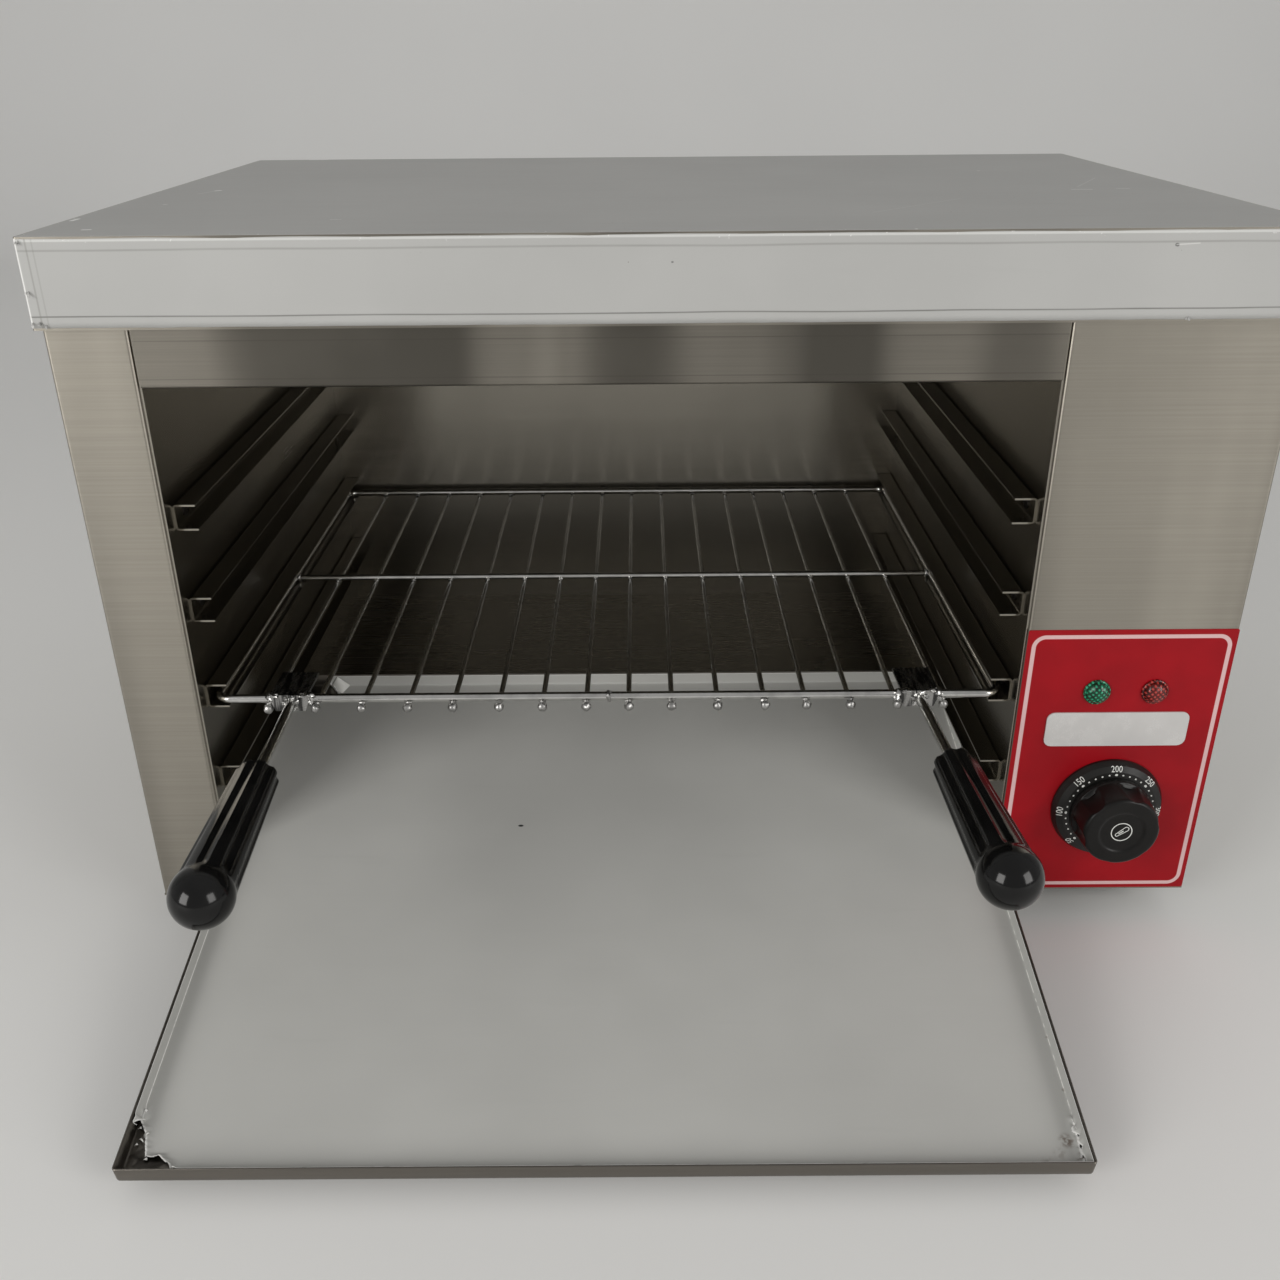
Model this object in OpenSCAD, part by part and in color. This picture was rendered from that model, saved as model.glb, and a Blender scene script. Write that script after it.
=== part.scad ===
// Countertop salamander grill: a folded sheet metal cabinet with an open front,
// four levels of rack runners, a wire rack with two handles, a crumb tray that
// pulls out and tips, radiant heaters under the ceiling and a control housing
// on the right. The origin is on the surface under the middle of the cabinet,
// the front faces -Y and Z points up.

/* [Cabinet] */
// Width of the cabinet, without the top cover
body_w = 600; // [560:1:680]
// Depth of the cabinet, without the top cover
body_d = 403; // [390:1:460]
// Height from the surface to the top of the cover's sheet
body_h = 393; // [385:1:430]
// Thickness of the sheet metal
sheet = 1; // [0.8:0.1:1.2]
// Inner radius of a bend in the sheet metal
bend_r = 0.8; // [0.5:0.1:1.2]
// Width of the post at the left of the opening
post_w = 41.7; // [35:0.1:50]
// Width of the control housing at the right of the opening
housing_w = 113.1; // [108:0.1:130]
// Depth of the flanges that are folded back behind the front faces
return_d = 12; // [8:0.5:16]
// Width of the flanges that the back panel is screwed to
back_flange_w = 15; // [12:0.5:20]
// Width of a vent slot
vent_w = 4; // [3:0.5:6]
// Length of a vent slot
vent_len = 44; // [30:1:60]
// Number of vent slots in each group
vent_count = 6; // [3:1:8]

/* [Top cover] */
// How far the cover stands out past the cabinet on each side
cover_over = 3; // [2:0.5:5]
// Height of the cover's lips
cover_lip = 42.3; // [36:0.1:50]
// Outer radius of the cover's upright corners
cover_corner_r = 1.6; // [1.2:0.1:2.4]
// Thickness of the protective film
film = 0.2; // [0.1:0.1:0.3]
// Strip along the lower edge of the lips that the film leaves bare
film_edge = 1; // [0.5:0.5:3]

/* [Cavity] */
// Height of the header, from its lower edge to the top of the cabinet
header_h = 71.2; // [60:0.1:78]
// Depth of the header's top and bottom flanges
header_flange = 14; // [10:0.5:18]
// Distance from the back wall of the cavity to the back of the cabinet
cavity_back_gap = 32; // [26:1:40]
// Height of the cavity's floor
floor_z = 48.1; // [44:0.1:54]
// Distance from the top of the cabinet down to the reflector over the cavity
ceiling_gap = 21; // [19:0.5:27]
// Set back of the liner's front edges behind the front faces
liner_recess = 1.5; // [0.5:0.5:3]

/* [Runners] */
// Number of levels
levels = 4; // [4:1:4]
// Height of the lowest runner's top flange
level_z = 101.7; // [100:0.1:106]
// Distance from one level to the next
level_pitch = 52.3; // [46:0.1:54]
// Level that the rack is pushed into, counted from the bottom
rack_level = 2; // [2:1:2]
// Height of a runner
rail_h = 14.1; // [13:0.1:16]
// Width of a runner's flanges
rail_flange = 11.75; // [10.5:0.25:13]
// Distance from the front face to the front end of the runners
rail_front = 11.6; // [8:0.1:20]
// Gap between the rear end of the runners and the back wall
rail_back_gap = 1; // [0.5:0.5:4]
// Distance from each end of a runner to its rivet
rivet_inset = 14; // [10:0.5:25]
// Radius of a rivet's shank
rivet_r = 2; // [1.5:0.1:2.5]
// Height of a rivet's head
rivet_head = 0.6; // [0.5:0.1:0.6]

/* [Rack] */
// Gap between the cavity's walls and the middles of the rack's side wires
rack_side_gap = 5.4; // [4.8:0.1:10]
// Distance from the middle of the rear wire to the cavity's back wall
rack_rear_gap = 8.2; // [7:0.1:28]
// Distance from the front face to the middle of the front wire
rack_front = 14.2; // [12:0.1:18]
// Shift of the rack to the right of the middle of its runners
rack_shift = -1; // [-1:0.1:1]
// Radius of the frame's wire
frame_r = 2.5; // [2:0.1:3]
// Radius to the middle of the wire at the frame's corners
frame_corner = 7; // [6:0.5:20]
// Radius of the bar across the middle
bar_r = 2; // [1.5:0.1:2.5]
// How far the bar across the rack is behind the rack's middle
bar_shift = -0.5; // [-20:0.5:20]
// Number of wires that run front to back
wire_count = 16; // [14:1:17]
// Distance from the left side wire to the first of these wires
wire_margin_left = 28.7; // [24:0.1:34]
// Distance from the last of these wires to the right side wire
wire_margin_right = 33.7; // [28:0.1:36]
// Radius of these wires
wire_r = 1.5; // [1.2:0.1:2]
// How far these wires stand out in front of the front wire
wire_nose = 3.2; // [2:0.1:5]
// How far these wires stand out behind the rear wire
wire_tail = 1.5; // [1:0.1:3]

/* [Rack handles] */
// Width of a handle bracket's plate
bracket_w = 20.5; // [19:0.5:22]
// Width of a bracket's front flange at its lower edge
bracket_low_w = 16.5; // [14:0.5:18]
// Depth of a bracket's plate
bracket_d = 28; // [20:1:36]
// Height of a bracket's front flange
bracket_h = 9.8; // [7:0.1:10]
// Height of the part of the flange that has the plate's full width
bracket_shoulder = 4.5; // [2:0.5:5]
// Thickness of a bracket
bracket_t = 1.5; // [1:0.1:2]
// Radius of a handle's rod
rod_r = 2.9; // [2.6:0.1:4]
// Length of rod that shows between the bracket and the grip
rod_len = 67.5; // [45:0.5:75]
// Length of rod inside the grip
rod_in_grip = 35; // [20:1:50]
// Length of a grip from its thin end to the middle of its ball
grip_len = 91.5; // [80:0.5:115]
// Radius of a grip at its thin end
grip_r1 = 11; // [9:0.1:12]
// Radius of a grip where it meets the ball
grip_r2 = 14; // [12:0.1:14]
// Radius of the ball
ball_r = 14.7; // [14.6:0.1:17]
// Number of flutes round a grip
flute_count = 8; // [6:1:10]
// Radius of a flute
flute_r = 3.4; // [2.5:0.1:4]
// How far the rod's axis is below the frame's wire
rod_drop = 1; // [0:0.1:2]
// Place of the left bracket to the right of the middle of the first two wires
left_bracket_shift = 0.3; // [-1:0.1:1]
// Place of the right bracket to the right of the middle of the last two wires
right_bracket_shift = 1.8; // [-1:0.1:3]
// Place of the left rod to the right of the middle of its bracket
left_rod_x = 0.8; // [-3:0.1:3]
// Place of the right rod to the right of the middle of its bracket
right_rod_x = 0.5; // [-3:0.1:4]
// How far the left handle points down
left_pitch = 3.5; // [-3:0.1:4]
// How far the right handle points down
right_pitch = 0.7; // [-3:0.1:4]
// How far the left handle points to the right
left_yaw = -0.2; // [-3:0.1:3]
// How far the right handle points to the right
right_yaw = 2.4; // [-3:0.1:3]

/* [Crumb tray] */
// Gap between the tray's sides and the cavity's walls
tray_side_gap = 2.6; // [1.6:0.1:7]
// Gap between the closed tray and the cavity's back wall
tray_rear_gap = 12.8; // [12:0.1:20]
// Height of the tray's lips
tray_lip = 10; // [8:0.5:11]
// How far the tray is drawn out
tray_out = 200; // [150:1:200]
// Angle that the drawn tray tips by
tray_tilt = 10.7; // [6:0.1:10.7]
// Set back of the closed tray's front behind the front face
tray_recess = 1.2; // [0.5:0.1:3]
// Radius of the rod that the tray runs on
sill_r = 3; // [2.5:0.1:3.5]
// Distance from the front face to the rod's axis
sill_y = 5; // [5:0.1:8]
// Strip inside the lips that the tray's film leaves bare
tray_film_edge = 6; // [3:0.5:10]

/* [Controls] */
// Gap between the label's sides and the sides of the housing's face
label_gap = 0.2; // [0.2:0.1:3]
// Height of the front label
label_h = 168; // [150:0.5:190]
// Thickness of the front label
label_t = 0.3; // [0.2:0.1:0.6]
// Distance of the thermostat's axis from the right side of the cabinet
dial_inset = 54.1; // [48:0.1:60]
// Height of the thermostat's axis
dial_z = 78.1; // [70:0.1:84]
// Radius of the scale ring
scale_r = 31; // [28:0.5:32]
// Height of the scale ring
scale_h = 6.5; // [4:0.5:8]
// Radius of the knob at its skirt
knob_r1 = 22.5; // [20:0.5:24]
// Radius of the knob at its face
knob_r2 = 20.8; // [18:0.1:22]
// Height of the knob
knob_h = 20; // [16:0.5:24]
// Radius of the knob's cap
cap_r = 11.85; // [10:0.05:13]
// Radius of the thermostat's shaft
shaft_r = 3; // [2.5:0.5:3.5]
// Distance of the green lamp from the right side of the cabinet
green_inset = 70.5; // [66:0.1:76]
// Distance of the red lamp from the right side of the cabinet
red_inset = 39.1; // [34:0.1:44]
// Height of the lamps
lamp_z = 151.9; // [146:0.1:162]
// Radius of a lamp's lens
lens_r = 7.3; // [6.5:0.1:8]
// How far a lens stands out
lens_h = 5; // [3:0.5:7]
// Width of the blank plate
plate_w = 78; // [70:0.1:96]
// Height of the blank plate
plate_h = 21; // [16:0.1:24]
// Distance of the blank plate's middle from the right side of the cabinet
plate_inset = 56.3; // [50:0.1:60]
// Height of the blank plate's middle
plate_z = 128.65; // [124:0.05:130]
// Thickness of the blank plate
plate_t = 0.8; // [0.4:0.1:1.5]

/* [Heaters and sensor] */
// Radius of a heater's tube
heater_r = 4.2; // [3.2:0.1:5]
// Distance between a heater's two legs
heater_gap = 50; // [40:1:70]
// Distance from the reflector down to the heaters
heater_drop = 22; // [18:1:26]
// Distance from the front face to the front heater's first leg
heater_y = 95; // [70:1:110]
// Distance from one heater to the next
heater_pitch = 130; // [110:1:150]
// Gap between a heater's bend and the left wall
heater_bend_gap = 35; // [25:1:60]
// Length of heater tube inside the control housing
heater_tail = 22; // [16:1:30]
// Radius of the thermostat's sensor bulb
bulb_r = 3; // [2.5:0.1:4]
// Length of the sensor bulb
bulb_len = 90; // [60:1:120]
// Distance from the reflector down to the sensor bulb
bulb_drop = 34; // [31:1:38]
// Distance from the front face to the bulb's rear end
bulb_back = 290; // [250:1:310]

/* [Supply] */
// Radius of the hole for the supply cord
cord_hole_r = 4.5; // [3.5:0.5:5]
// Height of the cord gland
gland_z = 60; // [50:1:90]
// Distance of the gland from the right side of the cabinet
gland_inset = 55; // [40:1:70]
// Radius of the gland's thread
gland_r = 8; // [7:0.5:9]

/* [Feet] */
// Height of the feet
foot_h = 20; // [15:0.5:30]
// Radius of a foot where it stands
foot_r = 12; // [11:0.5:16]
// Distance from the sides to the middle of a foot
foot_inset_x = 30; // [26:1:32]
// Distance from the front and the back to the middle of a foot
foot_inset_y = 38; // [30:1:60]

/* [Fits] */
// Gap between a running piece and what it runs on
run_gap = 0.3; // [0.2:0.05:0.4]
// Radial clearance of a shaft in its bore
bore_gap = 0.05; // [0.03:0.01:0.08]
// Gap between a welded wire and the wire that it crosses
weld_gap = 0.02; // [0.01:0.01:0.05]

/* [Hidden] */
$fn = 48;

front_y = -body_d / 2;
back_y = body_d / 2;
left_x = -body_w / 2;
right_x = body_w / 2;
cavity_l = left_x + post_w;
cavity_r = right_x - housing_w;
cavity_x = (cavity_l + cavity_r) / 2;
cavity_w = cavity_r - cavity_l;
cavity_back = back_y - cavity_back_gap;
base_top = foot_h + sheet;
wall_top = body_h - sheet;
header_z = body_h - header_h;
ceiling_z = body_h - ceiling_gap;
liner_top = ceiling_z + sheet;

dial_x = right_x - dial_inset;
green_x = right_x - green_inset;
red_x = right_x - red_inset;
gland_x = right_x - gland_inset;
panel_l = cavity_r + sheet;
panel_mid = (panel_l + right_x) / 2;

rail_back = cavity_back - rail_back_gap;
rail_front_y = front_y + rail_front;
rivet_ys = [rail_front_y + rivet_inset, rail_back - rivet_inset];
rivet_hole_r = rivet_r + bore_gap;
function rail_z(level) = level_z + (level - 1) * level_pitch;

frame_z = rail_z(rack_level) - rail_h + sheet + run_gap + frame_r;
wire_z = frame_z - frame_r - weld_gap - wire_r;
rack_w = cavity_w - 2 * rack_side_gap;
rack_x = cavity_x + rack_shift;
rack_front_y = front_y + rack_front;
rack_back_y = cavity_back - rack_rear_gap;
rack_d = rack_back_y - rack_front_y;
bar_y = (rack_front_y + rack_back_y) / 2 + bar_shift;
wire_pitch = (rack_w - wire_margin_left - wire_margin_right) / (wire_count - 1);
function wire_place(i) = rack_x - rack_w / 2 + wire_margin_left + i * wire_pitch;
function wire_x(i) = wire_place(i) + wire_drifts[i % len(wire_drifts)];

flange_back_y = rack_front_y - frame_r - weld_gap;
flange_front_y = flange_back_y - bracket_t;
left_bracket_x = wire_place(0.5) + left_bracket_shift;
right_bracket_x = wire_place(wire_count - 1.5) + right_bracket_shift;

sill_gap = 0.4;
sill_z = floor_z - sill_r;
step_z = floor_z - 2 * sill_r - sill_gap;
step_d = sill_y + sill_r + sheet;
sill_rod_y = front_y + sill_y;
tray_w = cavity_w - 2 * tray_side_gap;
tray_d = cavity_back - tray_rear_gap - front_y - tray_recess;

label_w = right_x - panel_l - 2 * label_gap;
label_y = front_y - label_t;
scale_y = label_y - scale_h;
knob_gap = 0.4;
knob_y = scale_y - knob_gap;
shaft_in_knob = 12;
shaft_tip_y = knob_y - shaft_in_knob;
lamp_xs = [green_x, red_x];
lamp_hole_r = 6.2;
screw_offset = 14;
dial_screw_r = 2;
dial_screw_head = 2;
dial_screw_depth = 8;
shaft_depth = 12.5;
thermostat_w = 45;
thermostat_d = 32;

heater_z = ceiling_z - heater_drop;
bulb_z = ceiling_z - bulb_drop;
heater_ys = [for (h = [0:1], leg = [0:1]) front_y + heater_y + h * heater_pitch + leg * heater_gap];
heater_end = cavity_r + heater_tail;
heater_bend_x = cavity_l + heater_bend_gap + heater_gap / 2 + heater_r;
ferrule_r = 6;
ferrule_flange = 3;
hanger_inset = 60;
hanger_flange = 12;
hanger_below = 5;
bulb_gap = 6;
bulb_x = cavity_r - bulb_gap;
bulb_back_y = front_y + bulb_back;
capillary_r = 1;
capillary_inset = 15;
capillary_behind = 20;
capillary_lead = 12;
capillary_x = right_x - capillary_inset;
capillary_y = front_y + capillary_behind;
entry_y = bulb_back_y + capillary_lead;
clip_w = 8;
clip_inset = 15;

block_w = 42;
block_d = 24;
block_h = 18;
block_inset = 62;
stud_inset = 92;
block_y = back_y - block_inset;
stud_x = right_x - stud_inset;
block_bore_r = 2.4;
stud_head_r = 4.2;
stud_head_h = 3;
stud_len = 17;
block_bore_z = 8;
block_pitch = 13;
terminal_len = 14;
terminal_r = 2;
gland_thread = 14;
gland_collar = 6;
gland_nose = 10;
gland_wall = 1.5;
gland_flat_r = 12;
gland_nut_h = 5;
lamp_body_len = 26;
lamp_tab_len = 8;
lamp_tab_x = 4;

foot_xs = [left_x + foot_inset_x, right_x - foot_inset_x];
foot_ys = [front_y + foot_inset_y, back_y - foot_inset_y];
foot_screw_r = 2.5;
foot_screw_depth = 10;
foot_screw_head_r = 4.8;
foot_screw_head_h = 3;
foot_recess_r = 6;
foot_flare = 2.5;
nut_r = 4.6;
nut_h = 4;
screw_end = 3;
screw_r = 1.9;
screw_head_r = 3.6;
screw_head_h = 2.2;
screw_len = 8;
screw_hole_r = screw_r + bore_gap;
back_screw_x = body_w / 2 - back_flange_w / 2 - sheet;
back_screw_low = 40;
back_screw_under_lip = 12;
back_screw_zs = [
    base_top + back_screw_low, (base_top + wall_top) / 2, wall_top - cover_lip - back_screw_under_lip
];
cover_screw_xs = [-body_w / 3, 0, body_w / 3];
cover_screw_z = body_h - cover_lip / 2;
vent_inset = 90;
vent_drop = 100;
vent_gap = 2;
vents_z = wall_top - cover_lip - vent_drop;
steel = [0.72, 0.72, 0.70];
chrome = [0.85, 0.86, 0.87];
bend_steps = 4;
past = 1;
// How far each wire strays to the right of its even place
wire_drifts = [0.6, 1.8, 2.5, 3.2, 3.6, 4.4, 3.8, 3.3, 2.1, 1.2, 2, 3.4, 1.6, 1.3, 2.2, 2.9];
shaft_play = 1;
rivet_tail_rim = 1;
rivet_head_rim = 1.2;
ferrule_inside = 2;
ferrule_outside = 4;
ferrule_flange_t = 2;
terminal_seal_len = 4;
terminal_seal_gap = 0.4;
shaft_end_gap = 0.5;
dial_screw_end_gap = 2;
dial_screw_head_r = 4;
scale_side_h = 1.5;
scale_slope_w = 1.6;
scale_slope_drop = 1.8;
scale_brow_w = 5;
scale_brow_drop = 0.4;
lens_rim = 1;
lens_steps = 5;
lamp_body_rim = 0.7;
lamp_tab_t = 0.8;
lamp_tab_w = 6.3;
label_corner = 1;
plate_corner = 4.2;
shaft_flat = 1.4;
shaft_tip_gap = 0.2;
skirt_h = 3;
face_edge = 1.2;
cap_t = 0.6;
scallop_count = 6;
scallop_r = 16;
scallop_depth = 2.6;
scallop_turn = 15;
scallop_z = 3.6;
lead_r = 1.3;
lamp_lead_r = 0.9;
supply_lead_run = 60;
power_lead_run = 40;
power_lead_x = 8;
power_lead_z = 14;
power_lead_drop = 40;
link_lead_run = 10;
return_lead_run = 16;
lamp_lead_run = 12;
lamp_lead_z = 18;
grip_chamfer_h = 2;
grip_chamfer_w = 1.5;
flute_depth = 1.1;
flute_end_gap = 12;
rod_end_gap = 0.2;
rod_trim = 20;

// Direction of a vector, and the same turned a quarter turn to the left
function unit(v) = v / norm(v);
function turned(v) = [-v[1], v[0]];
function step_in(path, i) = unit(path[max(i, 1)] - path[max(i, 1) - 1]);
function step_out(path, i) = let (k = min(i, len(path) - 2)) unit(path[k + 1] - path[k]);

// A path moved to its left by d, with its corners mitred
function shifted(path, d) = [
    for (i = [0:len(path) - 1])
    let (n = turned(step_in(path, i)), m = turned(step_out(path, i)))
    path[i] + (n + m) * d / (1 + n * m)
];

// A path with its corners rounded, by r_left where it turns left and by r_right elsewhere
function rounded(path, r_left, r_right) = [
    for (i = [0:len(path) - 1])
    let (a = step_in(path, i), b = step_out(path, i), side = sign(a[0] * b[1] - a[1] * b[0]))
    if (side == 0) path[i]
    else
    let (
        r = side > 0 ? r_left : r_right,
        bend = acos(a * b),
        middle = path[i] - a * r * tan(bend / 2) + turned(a) * side * r,
        start = atan2(-turned(a)[1] * side, -turned(a)[0] * side)
    )
    for (k = [0:bend_steps])
    let (angle = start + side * bend * k / bend_steps)
    middle + r * [cos(angle), sin(angle)]
];

function reversed(path) = [for (i = [len(path) - 1:-1:0]) path[i]];

// Section of a folded sheet whose thickness lies to the left of its path
module folded(path, t = sheet, r = bend_r) {
    outside = rounded(path, r + t, r);
    inside = rounded(shifted(path, t), r, r + t);
    polygon(concat(outside, reversed(inside)));
}

// Rectangle about its middle with round corners
module round_rect(w, d, r) {
    corners = [[1, 1, 0], [-1, 1, 90], [-1, -1, 180], [1, -1, 270]];
    polygon([
        for (c = corners, k = [0:bend_steps])
        [c[0] * (w / 2 - r), c[1] * (d / 2 - r)]
        + r * [cos(c[2] + 90 * k / bend_steps), sin(c[2] + 90 * k / bend_steps)]
    ]);
}

// A section drawn in Y and Z, drawn out along X from x0 to x1
module along_x(x0, x1) {
    translate([x0, 0, 0]) rotate([90, 0, 90]) linear_extrude(x1 - x0) children();
}

// A section drawn in X and Z, drawn out along Y from y0 to y1
module along_y(y0, y1) {
    translate([0, y1, 0]) rotate([90, 0, 0]) linear_extrude(y1 - y0) children();
}

// A box between two corners
module box(low, high) {
    translate(low) cube(high - low);
}

// Round bar from p to q
module bar(p, q, r) {
    v = q - p;
    translate(p)
    rotate([0, acos(v[2] / norm(v)), atan2(v[1], v[0])])
    cylinder(h = norm(v), r = r);
}

// Round hole or shaft along X or Y, at a point and to a length
module rod_x(p, len, r) {
    translate(p) rotate([0, 90, 0]) cylinder(h = len, r = r);
}

module rod_y(p, len, r) {
    translate(p) rotate([-90, 0, 0]) cylinder(h = len, r = r);
}

// Bent tube or wire through a list of points
module bent_bar(points, r) {
    for (i = [1:len(points) - 1]) bar(points[i - 1], points[i], r);
    for (i = [1:len(points) - 2]) translate(points[i]) sphere(r);
}

module slot(len, w) {
    square([len - w, w], center = true);
    for (side = [-1, 1]) translate([side * (len - w) / 2, 0]) circle(w / 2);
}

// A column of vent slots in the plane of a section
module vents() {
    for (i = [0:vent_count - 1]) translate([0, i * (1 + vent_gap) * vent_w]) slot(vent_len, vent_w);
}

// Cabinet

module base_pan() {
    color(steel)
    difference() {
        box([left_x, front_y, foot_h], [right_x, back_y, base_top]);
        for (x = foot_xs, y = foot_ys)
            translate([x, y, foot_h - past]) cylinder(h = sheet + 2 * past, r = foot_screw_r + bore_gap);
        translate([stud_x, block_y, foot_h - past])
            cylinder(h = sheet + 2 * past, r = foot_screw_r + bore_gap);
    }
}

module left_panel() {
    path = [
        [left_x + back_flange_w, back_y - sheet],
        [left_x, back_y - sheet],
        [left_x, front_y],
        [cavity_l - sheet, front_y],
        [cavity_l - sheet, front_y + return_d]
    ];
    color(steel)
    difference() {
        translate([0, 0, base_top]) linear_extrude(wall_top - base_top) folded(path);
        back_screw_holes(back_y - 2 * sheet - past);
    }
}

module right_panel() {
    path = [
        [cavity_r + sheet, front_y + return_d],
        [cavity_r + sheet, front_y],
        [right_x, front_y],
        [right_x, back_y - sheet],
        [right_x - back_flange_w, back_y - sheet]
    ];
    color(steel)
    difference() {
        translate([0, 0, base_top]) linear_extrude(wall_top - base_top) folded(path);
        back_screw_holes(back_y - 2 * sheet - past);
        for (x = lamp_xs) rod_y([x, front_y - past, lamp_z], sheet + 2 * past, lamp_hole_r);
        rod_y([dial_x, front_y - past, dial_z], sheet + 2 * past, shaft_r + shaft_play);
        for (side = [-1, 1])
            rod_y(
                [dial_x + side * screw_offset, front_y - past, dial_z],
                sheet + 2 * past, dial_screw_r + bore_gap
            );
        along_x(right_x - sheet - past, right_x + past)
        translate([back_y - vent_inset, vents_z]) vents();
    }
}

module header() {
    path = [
        [front_y + header_flange, header_z],
        [front_y, header_z],
        [front_y, wall_top],
        [front_y + header_flange, wall_top]
    ];
    color(steel) {
        along_x(cavity_l, cavity_r) folded(reversed(path));
        for (x = [cavity_l, cavity_r - sheet])
            box(
                [x, front_y + sheet, header_z + sheet],
                [x + sheet, front_y + header_flange, wall_top - sheet]
            );
    }
}

module back_screw_holes(y) {
    for (side = [-1, 1], z = back_screw_zs)
        rod_y([side * back_screw_x, y, z], 2 * sheet + 2 * past, screw_hole_r);
}

module back_panel() {
    color(steel)
    difference() {
        box([left_x, back_y - sheet, base_top], [right_x, back_y, wall_top]);
        back_screw_holes(back_y - sheet - past);
        for (x = cover_screw_xs)
            rod_y([x, back_y - sheet - past, cover_screw_z], sheet + 2 * past, screw_hole_r);
        rod_y([gland_x, back_y - sheet - past, gland_z], sheet + 2 * past, gland_r + bore_gap);
        along_y(back_y - sheet - past, back_y + past)
        translate([gland_x, vents_z]) vents();
    }
}

// Outer block of the cover, grown by the film's thickness when it cuts or skins
module cover_block(grow, low) {
    translate([0, 0, low])
    linear_extrude(body_h + grow - low)
    round_rect(
        body_w + 2 * (cover_over + grow), body_d + 2 * (cover_over + grow), cover_corner_r + grow
    );
}

module cover_screw_holes() {
    for (x = cover_screw_xs)
        rod_y([x, back_y, cover_screw_z], cover_over + film + past, screw_hole_r);
}

module top_cover() {
    color(steel)
    difference() {
        cover_block(0, body_h - cover_lip);
        translate([0, 0, body_h - cover_lip - past])
        linear_extrude(cover_lip + past - sheet)
        round_rect(
            body_w + 2 * (cover_over - sheet), body_d + 2 * (cover_over - sheet),
            cover_corner_r - sheet
        );
        cover_screw_holes();
    }
}

module cover_film() {
    color([0.9, 0.9, 0.9])
    difference() {
        cover_block(film, body_h - cover_lip + film_edge);
        cover_block(0, body_h - cover_lip);
        cover_screw_holes();
    }
}

// Cavity

module liner_holes(x) {
    for (level = [1:levels], y = rivet_ys)
        rod_x([x - past, y, rail_z(level) - rail_h / 2], sheet + 2 * past, rivet_hole_r);
    rod_x([x - past, sill_rod_y, sill_z], sheet + 2 * past, sill_r + bore_gap);
}

module liner_plate(x) {
    box([x, front_y + liner_recess, base_top], [x + sheet, cavity_back + sheet, liner_top]);
}

module cavity_left_wall() {
    color(steel)
    difference() {
        liner_plate(cavity_l - sheet);
        liner_holes(cavity_l - sheet);
    }
}

module cavity_right_wall() {
    color(steel)
    difference() {
        liner_plate(cavity_r);
        liner_holes(cavity_r);
        for (y = heater_ys)
            rod_x([cavity_r - past, y, heater_z], sheet + 2 * past, ferrule_r + bore_gap);
        rod_x([cavity_r - past, entry_y, bulb_z], sheet + 2 * past, capillary_r + bore_gap);
    }
}

module cavity_back_wall() {
    color(steel)
    box([cavity_l, cavity_back, base_top], [cavity_r, cavity_back + sheet, liner_top]);
}

module cavity_ceiling() {
    color(steel)
    box([cavity_l, front_y + header_flange, ceiling_z], [cavity_r, cavity_back, liner_top]);
}

module cavity_floor() {
    path = [
        [cavity_back, floor_z],
        [front_y + step_d, floor_z],
        [front_y + step_d, step_z],
        [front_y, step_z],
        [front_y, base_top]
    ];
    color(steel) along_x(cavity_l, cavity_r) folded(path);
}

// Both runners of one level
module rails(level) {
    top = rail_z(level);
    path = [
        [cavity_l + rail_flange, top],
        [cavity_l, top],
        [cavity_l, top - rail_h],
        [cavity_l + rail_flange, top - rail_h]
    ];
    color(steel)
    for (side = [0, 1])
        translate([cavity_x * 2 * side, 0, 0])
        mirror([side, 0, 0])
        difference() {
            along_y(rail_front_y, rail_back) folded(path);
            for (y = rivet_ys)
                rod_x([cavity_l - past, y, top - rail_h / 2], sheet + 2 * past, rivet_hole_r);
        }
}

module rail_rivets() {
    grip = 2 * sheet;
    color(steel)
    for (side = [0, 1], level = [1:levels], y = rivet_ys)
        translate([cavity_x * 2 * side, 0, 0])
        mirror([side, 0, 0])
        translate([cavity_l - sheet - rivet_head, y, rail_z(level) - rail_h / 2])
        rotate([0, 90, 0]) {
            cylinder(h = grip + 2 * rivet_head, r = rivet_r);
            cylinder(h = rivet_head, r = rivet_r + rivet_tail_rim);
            translate([0, 0, grip + rivet_head])
                cylinder(h = rivet_head, r = rivet_r + rivet_head_rim);
        }
}

// Heaters and sensor

module heater(index) {
    near = heater_ys[2 * index];
    far = heater_ys[2 * index + 1];
    color([0.35, 0.36, 0.35]) {
        for (y = [near, far])
            rod_x([heater_bend_x, y, heater_z], heater_end - heater_bend_x, heater_r);
        translate([heater_bend_x, (near + far) / 2, heater_z])
        rotate([0, 0, 90])
        rotate_extrude(angle = 180)
        translate([heater_gap / 2, 0])
        circle(heater_r);
    }
}

module heater_ferrules() {
    start = cavity_r - ferrule_inside;
    len = ferrule_inside + sheet + ferrule_outside;
    color("silver")
    for (y = heater_ys)
        difference() {
            union() {
                rod_x([start, y, heater_z], len, ferrule_r);
                rod_x([cavity_r + sheet, y, heater_z], ferrule_flange_t, ferrule_r + ferrule_flange);
            }
            rod_x([start - past, y, heater_z], len + 2 * past, heater_r + bore_gap);
        }
}

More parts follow.
